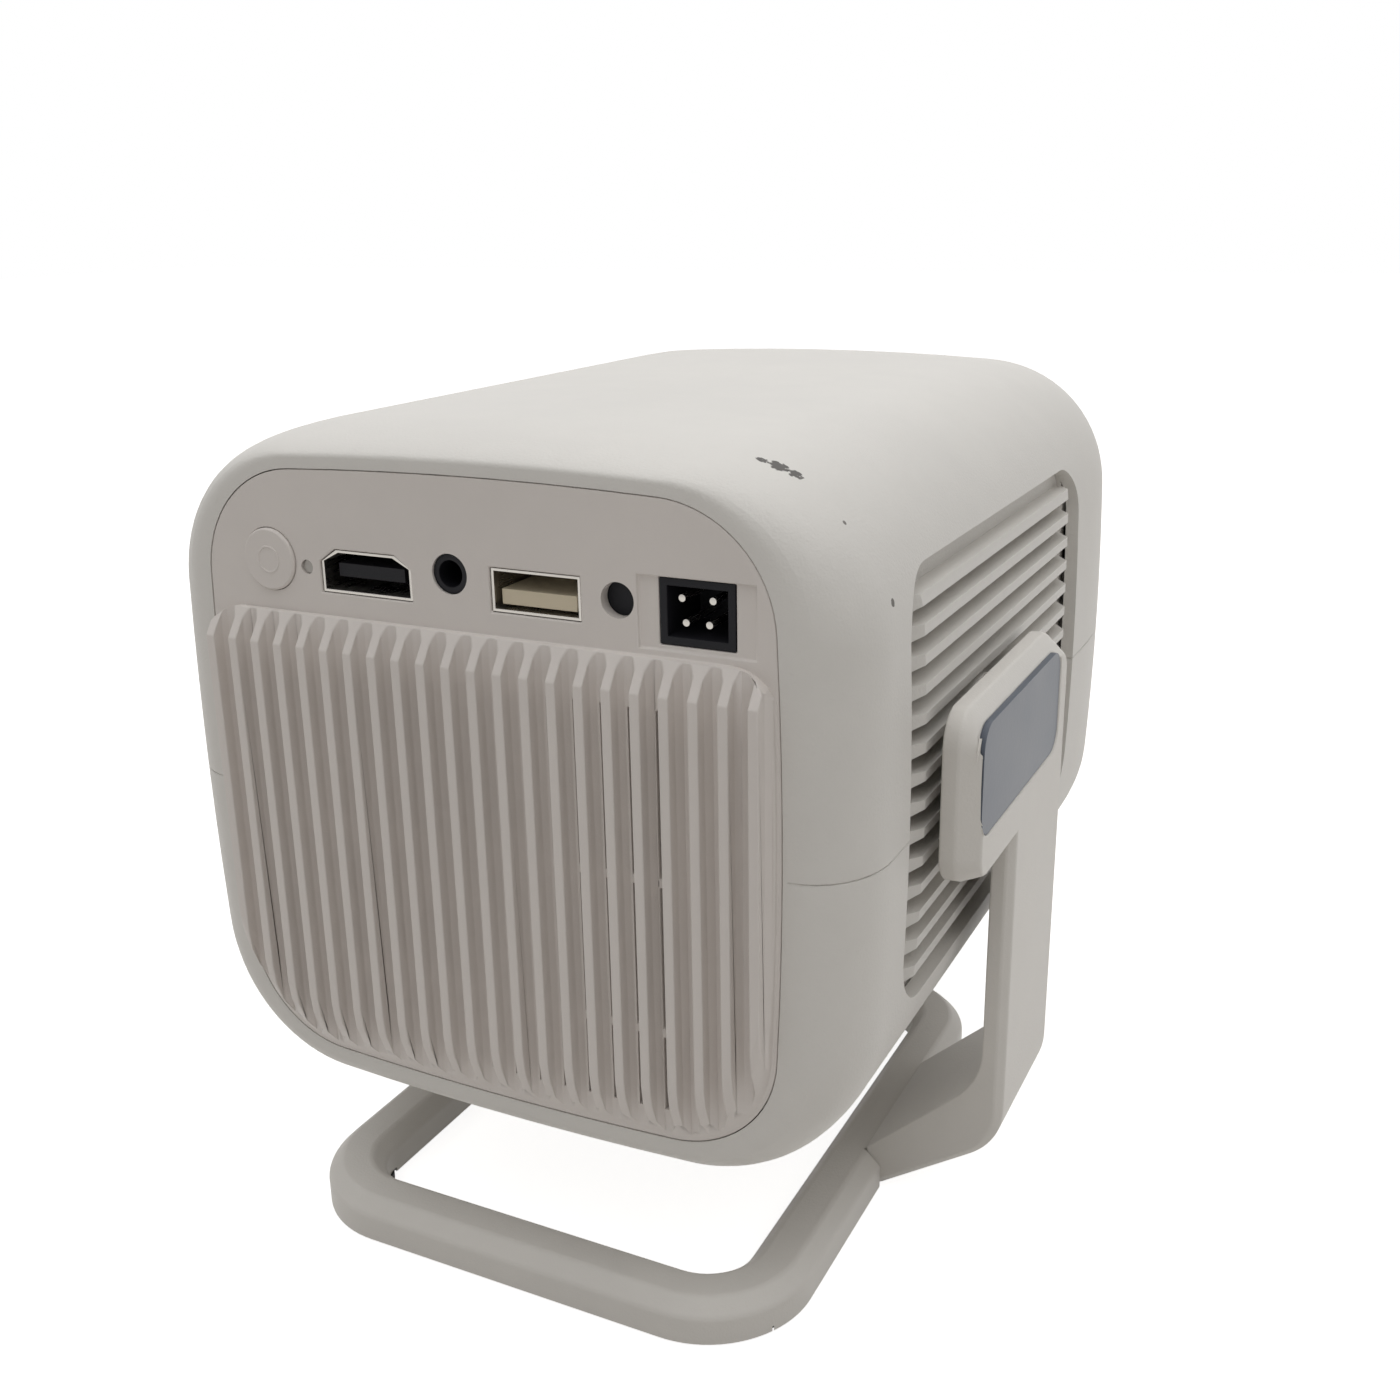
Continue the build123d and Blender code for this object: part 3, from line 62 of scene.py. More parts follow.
log = logging.getLogger("projector")
Colour = tuple[float, float, float]
Point = tuple[float, float, float]
Point2 = tuple[float, float]
MM = 0.001
WHITE = (1.0, 1.0, 1.0, 1.0)
JOIN = 0.002 * MM  # points closer than this are one point
CUT_JOIN = 0.0005 * MM  # how near a cut a point lies to be taken as on it
SAME_MM = 0.01  # places closer than this count as the same
FLAT_ANGLE = math.radians(0.6)  # faces that turn less than this are one flat
LARGE_FACE_WEIGHT = 60


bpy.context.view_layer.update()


def add_piece(name: str, shape: bmesh.types.BMesh) -> bpy.types.Object:
    """Makes an object of a finished shape and frees the shape.

    Args:
        name: The piece's name.
        shape: The finished shape.

    Returns:
        The new object, linked to the scene.
    """
    mesh = bpy.data.meshes.new(name)
    shape.to_mesh(mesh)
    shape.free()
    piece = bpy.data.objects.new(name, mesh)
    bpy.context.scene.collection.objects.link(piece)
    return piece


class Side(Enum):
    """The two sides of the projector, with their sign along X."""

    LEFT = 1
    RIGHT = -1


# ---- Shader trees ----
class Tree:
    """Adds nodes to one shader tree and joins them."""

    def __init__(self, tree: bpy.types.NodeTree) -> None:
        """Keeps the tree whose nodes are made."""
        self.tree = tree

    def add(self, kind: str, inputs: dict | None = None, **settings: object) -> bpy.types.Node:
        """Adds one node.

        Args:
            kind: The node's type name.
            inputs: Values or sockets for its inputs, by name or number.
            settings: Its own settings.

        Returns:
            The new node.
        """
        node = self.tree.nodes.new(kind)
        for key, value in settings.items():
            setattr(node, key, value)
        for key, value in (inputs or {}).items():
            if isinstance(value, bpy.types.NodeSocket):
                self.tree.links.new(value, node.inputs[key])
            else:
                node.inputs[key].default_value = value
        return node

    def maths(self, operation: str, *values: object, clamp: bool = False) -> bpy.types.NodeSocket:
        """Adds a Math node and returns its output socket."""
        inputs = dict(enumerate(values))
        return self.add("ShaderNodeMath", inputs, operation=operation, use_clamp=clamp).outputs[0]

    def vector(self, operation: str, *values: object, out: str = "Vector") -> bpy.types.NodeSocket:
        """Adds a Vector Math node and returns one of its output sockets."""
        inputs = dict(enumerate(values))
        return self.add("ShaderNodeVectorMath", inputs, operation=operation).outputs[out]

    def mix(self, share: object, low: object, high: object) -> bpy.types.NodeSocket:
        """Adds a colour Mix node and returns its output socket."""
        node = self.add("ShaderNodeMix", data_type="RGBA")
        for key, value in ((0, share), (6, low), (7, high)):
            if isinstance(value, bpy.types.NodeSocket):
                self.tree.links.new(value, node.inputs[key])
            else:
                node.inputs[key].default_value = value
        return node.outputs[2]

    def span(self, value: object, low: float, high: float, to_low: float = 0.0,
             to_high: float = 1.0) -> bpy.types.NodeSocket:
        """Maps a value smoothly from one span to another.

        Args:
            value: The socket to map.
            low: Start of the span that is read.
            high: End of the span that is read.
            to_low: Start of the span that is given.
            to_high: End of the span that is given.

        Returns:
            The mapped value's socket.
        """
        inputs = {0: value, 1: low, 2: high, 3: to_low, 4: to_high}
        node = self.add("ShaderNodeMapRange", inputs, interpolation_type="SMOOTHSTEP")
        return node.outputs[0]


class Groups:
    """The shared shader groups, each built once."""

    def __init__(self) -> None:
        """Builds every group."""
        self.grain = self._grain()
        self.drift = self._drift()
        self.specks = self._specks()
        self.scuff = self._scuff()
        self.brushed = self._brushed()

    @staticmethod
    def _start(name: str, inputs: dict[str, tuple[str, object]],
               outputs: dict[str, str]) -> tuple[Tree, bpy.types.Node, bpy.types.Node]:
        """Starts a group with its sockets.

        Args:
            name: The group's name.
            inputs: Kind and first value of each input.
            outputs: Kind of each output.

        Returns:
            The tree, and its input and output nodes.
        """
        tree = bpy.data.node_groups.new(name, "ShaderNodeTree")
        for label, (kind, value) in inputs.items():
            socket = tree.interface.new_socket(label, in_out="INPUT", socket_type=kind)
            if value is not None:
                socket.default_value = value
        for label, kind in outputs.items():
            tree.interface.new_socket(label, in_out="OUTPUT", socket_type=kind)
        kit = Tree(tree)
        return kit, kit.add("NodeGroupInput"), kit.add("NodeGroupOutput")

    def _grain(self) -> bpy.types.NodeTree:
        """Fine spark-eroded mould grain."""
        kit, given, made = self._start(
            "mould_grain",
            {"Place": ("NodeSocketVector", None), "Size": ("NodeSocketFloat", 0.3)},
            {"Height": "NodeSocketFloat"},
        )
        turned = kit.vector("SCALE", given.outputs["Place"])
        cells_per_metre = kit.maths("DIVIDE", 1000.0, given.outputs["Size"])
        kit.tree.links.new(cells_per_metre, turned.node.inputs["Scale"])
        fine = kit.add("ShaderNodeTexNoise", {"Vector": turned, "Scale": 1.0, "Detail": 2.0})
        pits = kit.add("ShaderNodeTexVoronoi", {"Vector": turned, "Scale": 0.6})
        height = kit.maths("ADD", fine.outputs[0], kit.maths("MULTIPLY", pits.outputs[0], 0.4))
        kit.tree.links.new(height, made.inputs["Height"])
        return kit.tree

    def _drift(self) -> bpy.types.NodeTree:
        """Slow handling tone over a moulding, with finer cloudiness on top."""
        kit, given, made = self._start(
            "tone_drift",
            {"Place": ("NodeSocketVector", None), "Scale": ("NodeSocketFloat", 18.0)},
            {"Tone": "NodeSocketFloat"},
        )
        place, scale = given.outputs["Place"], given.outputs["Scale"]
        slow = kit.add("ShaderNodeTexNoise", {"Vector": place, "Scale": scale, "Detail": 3.0})
        finer = kit.maths("MULTIPLY", scale, 9.0)
        fast = kit.add("ShaderNodeTexNoise", {"Vector": place, "Scale": finer, "Detail": 4.0})
        total = kit.maths("ADD", slow.outputs[0], kit.maths("MULTIPLY", fast.outputs[0], 0.35))
        kit.tree.links.new(kit.maths("DIVIDE", total, 1.35), made.inputs["Tone"])
        return kit.tree

    def _specks(self) -> bpy.types.NodeTree:
        """Tiny dark specks, a few to each face."""
        kit, given, made = self._start(
            "dust_specks",
            {
                "Place": ("NodeSocketVector", None),
                "Spacing": ("NodeSocketFloat", 90.0),
                "Share": ("NodeSocketFloat", 0.1),
            },
            {"Mask": "NodeSocketFloat"},
        )
        place, spacing = given.outputs["Place"], given.outputs["Spacing"]
        cells = kit.add("ShaderNodeTexVoronoi", {"Vector": place, "Scale": spacing})
        near = kit.span(cells.outputs["Distance"], 0.03, 0.018)
        picked = kit.add("ShaderNodeSeparateColor", {0: cells.outputs["Color"]}).outputs[0]
        kept = kit.maths("LESS_THAN", picked, given.outputs["Share"])
        kit.tree.links.new(kit.maths("MULTIPLY", near, kept), made.inputs["Mask"])
        return kit.tree

    def _scuff(self) -> bpy.types.NodeTree:
        """A ragged patch of worn flecks about one point."""
        kit, given, made = self._start(
            "scuff_patch",
            {
                "Place": ("NodeSocketVector", None),
                "Centre": ("NodeSocketVector", None),
                "Radius": ("NodeSocketFloat", 0.004),
                "Fleck": ("NodeSocketFloat", 900.0),
                "Cover": ("NodeSocketFloat", 0.5),
            },
            {"Mask": "NodeSocketFloat"},
        )
        place = given.outputs["Place"]
        away = kit.vector("DISTANCE", place, given.outputs["Centre"], out="Value")
        reach = kit.maths("DIVIDE", away, given.outputs["Radius"])
        inside = kit.span(reach, 1.0, 0.2)
        fleck = given.outputs["Fleck"]
        noise = kit.add("ShaderNodeTexNoise", {"Vector": place, "Scale": fleck, "Detail": 3.0})
        level = kit.maths("MULTIPLY", noise.outputs[0], inside)
        lowered = kit.maths("MULTIPLY", given.outputs["Cover"], 0.5)
        edge = kit.maths("SUBTRACT", level, kit.maths("SUBTRACT", 0.62, lowered))
        kit.tree.links.new(kit.maths("MULTIPLY", edge, 14.0, clamp=True), made.inputs["Mask"])
        return kit.tree

    def _brushed(self) -> bpy.types.NodeTree:
        """Fine drawn lines of rolled or turned metal."""
        kit, given, made = self._start(
            "drawn_lines",
            {
                "Place": ("NodeSocketVector", None),
                "Stretch": ("NodeSocketVector", (3000.0, 200.0, 3000.0)),
            },
            {"Height": "NodeSocketFloat", "Tone": "NodeSocketFloat"},
        )
        place = given.outputs["Place"]
        drawn = kit.vector("MULTIPLY", place, given.outputs["Stretch"])
        lines = kit.add("ShaderNodeTexNoise", {"Vector": drawn, "Scale": 1.0, "Detail": 3.0})
        blotch = kit.add("ShaderNodeTexNoise", {"Vector": place, "Scale": 240.0, "Detail": 2.0})
        kit.tree.links.new(lines.outputs[0], made.inputs["Height"])
        tone = kit.maths("MULTIPLY", kit.maths("ADD", lines.outputs[0], blotch.outputs[0]), 0.5)
        kit.tree.links.new(tone, made.inputs["Tone"])
        return kit.tree


# ---- Finishes ----
@dataclass(frozen=True)
class Mark:
    """One worn patch on a moulding: where it is, how wide, how fine and how dark."""

    centre: Point
    radius: float
    fleck: float = 900.0
    cover: float = 0.5
    colour: Colour = (0.05, 0.045, 0.042)
    strength: float = 0.9


@dataclass(frozen=True)
class Finish:
    """What every finish has: a name, a colour and a roughness."""

    name: str
    colour: Colour
    roughness: float

    def begin(self) -> tuple[Tree, bpy.types.Node, bpy.types.NodeSocket, bpy.types.Material]:
        """Starts the material.

        Returns:
            The tree, its shader, the object coordinates and the material.
        """
        material = bpy.data.materials.new(self.name)
        material.use_nodes = True
        kit = Tree(material.node_tree)
        material.node_tree.nodes.clear()
        first = {"Base Color": (*self.colour, 1.0), "Roughness": self.roughness}
        shader = kit.add("ShaderNodeBsdfPrincipled", first)
        kit.add("ShaderNodeOutputMaterial", {0: shader.outputs[0]})
        place = kit.add("ShaderNodeTexCoord").outputs["Object"]
        return kit, shader, place, material

    def shade(self, amount: float) -> tuple[float, float, float, float]:
        """The finish's colour made lighter or darker by a factor."""
        return (*(min(1.0, channel * amount) for channel in self.colour), 1.0)


@dataclass(frozen=True)
class Moulding(Finish):
    """Moulded plastic: fine grain, slow tone drift, specks and any worn marks."""

    grain: float = 0.3
    depth: float = 0.12
    drift: float = 0.035
    specks: float = 0.0
    coat: float = 0.0
    specular: float = 0.45
    marks: tuple[Mark, ...] = ()

    def build(self, groups: Groups) -> bpy.types.Material:
        """Makes the material.

        Args:
            groups: The shared shader groups.

        Returns:
            The finished material.
        """
        kit, shader, place, material = self.begin()
        grain = kit.add("ShaderNodeGroup", {}, node_tree=groups.grain)
        kit.tree.links.new(place, grain.inputs["Place"])
        grain.inputs["Size"].default_value = self.grain
        drift = kit.add("ShaderNodeGroup", {}, node_tree=groups.drift)
        kit.tree.links.new(place, drift.inputs["Place"])
        tone = kit.span(drift.outputs["Tone"], 0.3, 0.7)
        colour = kit.mix(tone, self.shade(1.0 - self.drift), self.shade(1.0 + self.drift))
        if self.specks:
            specks = kit.add("ShaderNodeGroup", {}, node_tree=groups.specks)
            kit.tree.links.new(place, specks.inputs["Place"])
            specks.inputs["Share"].default_value = self.specks
            share = kit.maths("MULTIPLY", specks.outputs["Mask"], 0.6)
            colour = kit.mix(share, colour, self.shade(0.25))
        smoothest, roughest = self.roughness - 0.05, self.roughness + 0.05
        rough = kit.span(drift.outputs["Tone"], 0.25, 0.75, smoothest, roughest)
        worn = None
        for mark in self.marks:
            patch = kit.add("ShaderNodeGroup", {}, node_tree=groups.scuff)
            kit.tree.links.new(place, patch.inputs["Place"])
            patch.inputs["Centre"].default_value = mark.centre
            patch.inputs["Radius"].default_value = mark.radius
            patch.inputs["Fleck"].default_value = mark.fleck
            patch.inputs["Cover"].default_value = mark.cover
            mask = patch.outputs["Mask"]
            share = kit.maths("MULTIPLY", mask, mark.strength)
            colour = kit.mix(share, colour, (*mark.colour, 1.0))
            worn = mask if worn is None else kit.maths("MAXIMUM", worn, mask)
        height = grain.outputs["Height"]
        if worn is not None:
            height = kit.maths("SUBTRACT", height, kit.maths("MULTIPLY", worn, 2.0))
            rough = kit.maths("ADD", rough, kit.maths("MULTIPLY", worn, 0.2))
        relief = {"Strength": self.depth, "Distance": self.grain * MM, "Height": height}
        bump = kit.add("ShaderNodeBump", relief)
        kit.tree.links.new(colour, shader.inputs["Base Color"])
        kit.tree.links.new(rough, shader.inputs["Roughness"])
        kit.tree.links.new(bump.outputs[0], shader.inputs["Normal"])
        shader.inputs["Specular IOR Level"].default_value = self.specular
        shader.inputs["Coat Weight"].default_value = self.coat
        return material


@dataclass(frozen=True)
class Metal(Finish):
    """Plated, rolled or turned metal with fine drawn lines."""

    stretch: Point = (3000.0, 200.0, 3000.0)
    depth: float = 0.1

    def build(self, groups: Groups) -> bpy.types.Material:
        """Makes the material.

        Args:
            groups: The shared shader groups.

        Returns:
            The finished material.
        """
        kit, shader, place, material = self.begin()
        shader.inputs["Metallic"].default_value = 1.0
        lines = kit.add("ShaderNodeGroup", {}, node_tree=groups.brushed)
        kit.tree.links.new(place, lines.inputs["Place"])
        lines.inputs["Stretch"].default_value = self.stretch
        colour = kit.mix(lines.outputs["Tone"], self.shade(0.86), self.shade(1.1))
        smoothest, roughest = self.roughness - 0.06, self.roughness + 0.08
        rough = kit.span(lines.outputs["Tone"], 0.3, 0.7, smoothest, roughest)
        relief = {"Strength": self.depth, "Distance": 0.05 * MM, "Height": lines.outputs["Height"]}
        bump = kit.add("ShaderNodeBump", relief)
        kit.tree.links.new(colour, shader.inputs["Base Color"])
        kit.tree.links.new(rough, shader.inputs["Roughness"])
        kit.tree.links.new(bump.outputs[0], shader.inputs["Normal"])
        return material


@dataclass(frozen=True)
class Glass(Finish):
    """Coated lens glass."""

    ior: float = 1.52
    coat_tint: Colour = (0.55, 0.62, 0.95)

    def build(self, groups: Groups) -> bpy.types.Material:
        """Makes the material.

        Args:
            groups: The shared shader groups.

        Returns:
            The finished material.
        """
        kit, shader, place, material = self.begin()
        shader.inputs["Transmission Weight"].default_value = 1.0
        shader.inputs["IOR"].default_value = self.ior
        shader.inputs["Coat Weight"].default_value = 0.6
        shader.inputs["Coat Roughness"].default_value = 0.02
        shader.inputs["Coat Tint"].default_value = (*self.coat_tint, 1.0)
        drift = kit.add("ShaderNodeGroup", {}, node_tree=groups.drift)
        kit.tree.links.new(place, drift.inputs["Place"])
        rough = kit.span(drift.outputs["Tone"], 0.3, 0.8, self.roughness, self.roughness + 0.03)
        kit.tree.links.new(rough, shader.inputs["Roughness"])
        return material


@dataclass(frozen=True)
class Board(Finish):
    """A solder-masked circuit board with a faint weave and paler tracks."""

    tracks: float = 420.0

    def build(self, groups: Groups) -> bpy.types.Material:
        """Makes the material.

        Args:
            groups: The shared shader groups.

        Returns:
            The finished material.
        """
        kit, shader, place, material = self.begin()
        tracks = kit.add("ShaderNodeTexBrick", {"Vector": place, "Scale": self.tracks})
        drift = kit.add("ShaderNodeGroup", {}, node_tree=groups.drift)
        kit.tree.links.new(place, drift.inputs["Place"])
        patches = kit.span(drift.outputs["Tone"], 0.45, 0.55)
        share = kit.maths("MULTIPLY", tracks.outputs["Fac"], patches)
        colour = kit.mix(share, self.shade(1.0), self.shade(1.9))
        bump = kit.add("ShaderNodeBump", {"Strength": 0.2, "Distance": 0.03 * MM, "Height": share})
        kit.tree.links.new(colour, shader.inputs["Base Color"])
        kit.tree.links.new(bump.outputs[0], shader.inputs["Normal"])
        return material


@dataclass
class FinishBook:
    """Builds each finish once and gives it to the CAD nodes and the new pieces."""

    groups: Groups
    made: dict[str, bpy.types.Material] = field(default_factory=dict)

    def get(self, finish: Finish) -> bpy.types.Material:
        """The material of a finish, built the first time."""
        if finish.name not in self.made:
            self.made[finish.name] = finish.build(self.groups)
        return self.made[finish.name]

    def dress(self, piece: bpy.types.Object, finish: Finish) -> None:
        """Gives a whole piece one finish.

        Args:
            piece: The object to dress.
            finish: Its finish.
        """
        material = self.get(finish)
        if piece.material_slots:
            for material_slot in piece.material_slots:
                material_slot.material = material
        else:
            piece.data.materials.append(material)


SHELL = Moulding(
    "shell_moulding", (0.72, 0.70, 0.665), 0.52, grain=0.32, depth=0.16, specks=0.05,
    marks=(
        Mark((-0.0383, 0.0596, 0.1231), 0.0026, 1500.0, 0.62),
        Mark((-0.0404, 0.0592, 0.1222), 0.0020, 1700.0, 0.66),
        Mark((-0.0364, 0.0600, 0.1238), 0.0015, 1900.0, 0.58),
        Mark((-0.0526, 0.0578, 0.1072), 0.0009, 1200.0, 0.80, (0.12, 0.11, 0.10)),
        Mark((-0.0471, 0.0601, 0.1170), 0.0005, 1500.0, 0.80, (0.15, 0.14, 0.13)),
    ),
)
PANEL = Moulding("panel_moulding", (0.72, 0.675, 0.64), 0.48, grain=0.25, depth=0.10, specks=0.03)
STAND = Moulding("stand_moulding", (0.72, 0.695, 0.655), 0.50, grain=0.30, depth=0.13, specks=0.02)
WINDOW = Moulding(
    "inlay_gloss", (0.10, 0.115, 0.145), 0.40, grain=0.8, depth=0.02, drift=0.15, specular=0.3
)
BLACK = Moulding(
    "black_moulding", (0.006, 0.006, 0.008), 0.55, grain=0.2, depth=0.12, drift=0.2, specular=0.2
)
GLOSS_BLACK = Moulding(
    "black_gloss", (0.008, 0.008, 0.010), 0.12, grain=0.9, depth=0.02, drift=0.2, coat=0.4
)
CREAM = Moulding("cream_moulding", (0.66, 0.58, 0.43), 0.40, grain=0.2, depth=0.08)
RUBBER = Moulding("foot_rubber", (0.03, 0.03, 0.031), 0.75, grain=0.5, depth=0.3)
NYLON = Moulding("washer_nylon", (0.72, 0.70, 0.63), 0.45, grain=0.4, depth=0.06)
LIGHT_PIPE = Moulding("light_pipe", (0.42, 0.40, 0.37), 0.25, grain=0.3, depth=0.05, coat=0.3)
CONE = Moulding("speaker_cone", (0.02, 0.02, 0.022), 0.6, grain=0.6, depth=0.3)
NICKEL = Metal("plated_sheet", (0.46, 0.44, 0.41), 0.28)
STEEL = Metal("zinc_steel", (0.52, 0.53, 0.55), 0.34, stretch=(900.0, 900.0, 900.0))
BRASS = Metal("turned_brass", (0.68, 0.50, 0.22), 0.30, stretch=(4000.0, 300.0, 300.0))
ALUMINIUM = Metal("extruded_aluminium", (0.70, 0.71, 0.72), 0.38, stretch=(3500.0, 3500.0, 120.0))
LENS_GLASS = Glass("lens_glass", (0.96, 0.98, 1.0), 0.01)
BOARD = Board("circuit_board", (0.015, 0.10, 0.045), 0.38)


# ---- The housing's smooth form ----
@dataclass(frozen=True)
class HousingEnd:
    """One rounded end of the housing: how far and over what depth each face falls in, in mm."""

    rim: float
    inward: int
    side: Point2
    top: Point2
    bottom: Point2
    flats: int
    cuts: tuple[float, ...]

    def reach(self) -> float:
        """The depth at which the rounding has died out."""
        return max(self.side[1], self.top[1], self.bottom[1])

    def depth(self, y: float) -> float:
        """How deep a place along Y lies behind this end's rim."""
        return (y - self.rim) * self.inward

    def stations(self) -> list[float]:
        """The depths at which the CAD's flats meet."""
        turn = math.pi / 2 / self.flats
        return [self.reach() * (1 - math.cos(turn * step)) for step in range(self.flats + 1)]


@dataclass(frozen=True)
class HousingForm:
    """The housing's true rounded form, in mm, which the CAD's flats follow."""

    half_width: float = 54.0
    half_height: float = 49.8
    middle: float = 76.3
    corner: float = 24.2
    rim_corner: float = 17.1
    crown: float = 560.0
    rear: HousingEnd = HousingEnd(
        rim=71.05, inward=-1, side=(9.3, 11.0), top=(3.3, 21.0), bottom=(5.2, 7.0), flats=4,
        cuts=(0.15, 0.4, 0.8, 2.4, 3.4, 4.6, 7.6, 9.3, 11.0, 16.0),
    )
    front: HousingEnd = HousingEnd(
        rim=-72.95, inward=1, side=(8.0, 24.0), top=(6.0, 30.0), bottom=(5.2, 12.0), flats=3,
        cuts=(0.3, 0.9, 1.8, 2.9, 6.0, 8.5, 11.5, 18.5, 24.0),
    )
    skin: float = 0.22  # points within this of the flats are on the outer skin

    def section(self, end: HousingEnd, depth: float) -> tuple[float, float, float, float]:
        """The form's section at a depth in from one end.

        Args:
            end: The end that the depth is measured from.
            depth: The depth behind its rim.

        Returns:
            The half-width, middle height, half-height and corner radius.
        """
        def drop(amount: float, run: float) -> float:
            """A quarter ellipse, steep at the rim and level where the run ends."""
            left = max(0.0, 1 - depth / run)
            return amount * (1 - math.sqrt(1 - left * left))

        low = self.middle - self.half_height + drop(*end.bottom)
        high = self.middle + self.half_height - drop(*end.top)
        corner = self.corner - drop(self.corner - self.rim_corner, end.side[1])
        return self.half_width - drop(*end.side), (low + high) / 2, (high - low) / 2, corner

    def flat_section(self, end: HousingEnd, depth: float) -> tuple[float, ...]:
        """The section of the CAD's flats at a depth, between the two stations about it."""
        stations = end.stations()
        after = next(k for k in range(1, len(stations)) if depth <= stations[k] + 1e-6)
        share = (depth - stations[after - 1]) / (stations[after] - stations[after - 1])
        near, far = self.section(end, stations[after - 1]), self.section(end, stations[after])
        return tuple(a + (b - a) * share for a, b in zip(near, far))

    def nearest(self, section: tuple[float, ...], x: float, z: float) -> tuple[float, float]:
        """The point of a section's outline that is nearest to a point.

        Args:
            section: The section's sizes.
            x: The point's place across the body.
            z: Its height.

        Returns:
            The outline point's place across and its height.
        """
        half_width, middle, half_height, corner = section
        point = Vector((abs(x), abs(z - middle)))
        side = Vector((half_width - self.crown, 0.0))
        top = Vector((0.0, half_height - self.crown))
        outward = Vector((self.crown - half_height, self.crown - half_width)).normalized()
        half_apart = (top - side).length / 2
        centre = (side + top) / 2 + outward * math.sqrt((self.crown - corner) ** 2 - half_apart**2)
        past_side = (centre - side).normalized().cross((point - centre).normalized()) > 0
        past_top = (centre - top).normalized().cross((point - centre).normalized()) < 0
        if past_side and past_top:
            found = centre + (point - centre).normalized() * corner
        elif past_top:
            found = side + (point - side).normalized() * self.crown
        else:
            found = top + (point - top).normalized() * self.crown
        return math.copysign(found.x, x), middle + math.copysign(found.y, z - middle)

    def smooth(self, shape: bmesh.types.BMesh) -> None:
        """Cuts the flats of a shell's skin finer and moves the new points out to the true form.

        Args:
            shape: The merged copy of a shell, in metres.
        """
        along = (0.0, 1.0, 0.0)
        for end in (self.rear, self.front):
            for depth in end.cuts:
                place = Vector((0.0, (end.rim + depth * end.inward) * MM, 0.0))
                geometry = [*shape.verts, *shape.edges, *shape.faces]
                bmesh.ops.bisect_plane(
                    shape, geom=geometry, dist=CUT_JOIN, plane_co=place, plane_no=along
                )
            for vert in shape.verts:
                x, y, z = (value / MM for value in vert.co)
                depth = end.depth(y)
                if not SAME_MM < depth < end.reach():
                    continue
                flat_x, flat_z = self.nearest(self.flat_section(end, depth), x, z)
                if math.hypot(flat_x - x, flat_z - z) < self.skin:
                    x, z = self.nearest(self.section(end, depth), x, z)
                    vert.co = Vector((x, y, z)) * MM


# ---- CAD nodes, kept as they are or stood for by a rounded copy ----
@dataclass(frozen=True)
class Softening:
    """How the sharp edges of a CAD node are rounded in the visual model."""

    width: float
    segments: int = 2
    angle: float = 30.0

    def apply(self, piece: bpy.types.Object) -> None:
        """Adds the modifiers that join, round and smooth a CAD node's triangles.

        Args:
            piece: The CAD node's object.
        """
        for polygon in piece.data.polygons:
            polygon.use_smooth = True
        weld = piece.modifiers.new("weld", "WELD")
        weld.merge_threshold = JOIN
        bevel = piece.modifiers.new("bevel", "BEVEL")
        bevel.width = self.width * MM
        bevel.segments = self.segments
        bevel.limit_method = "ANGLE"
        bevel.angle_limit = math.radians(self.angle)
        bevel.use_clamp_overlap = True
        add_weighted_normals(piece)


def add_weighted_normals(piece: bpy.types.Object, keep_sharp: bool = False) -> None:
    """Lets a piece's large faces set the shading across its small ones.

    Args:
        piece: The object that takes the modifier.
        keep_sharp: Whether edges marked sharp stay sharp.
    """
    normals = piece.modifiers.new("normals", "WEIGHTED_NORMAL")
    normals.keep_sharp = keep_sharp
    normals.weight = LARGE_FACE_WEIGHT


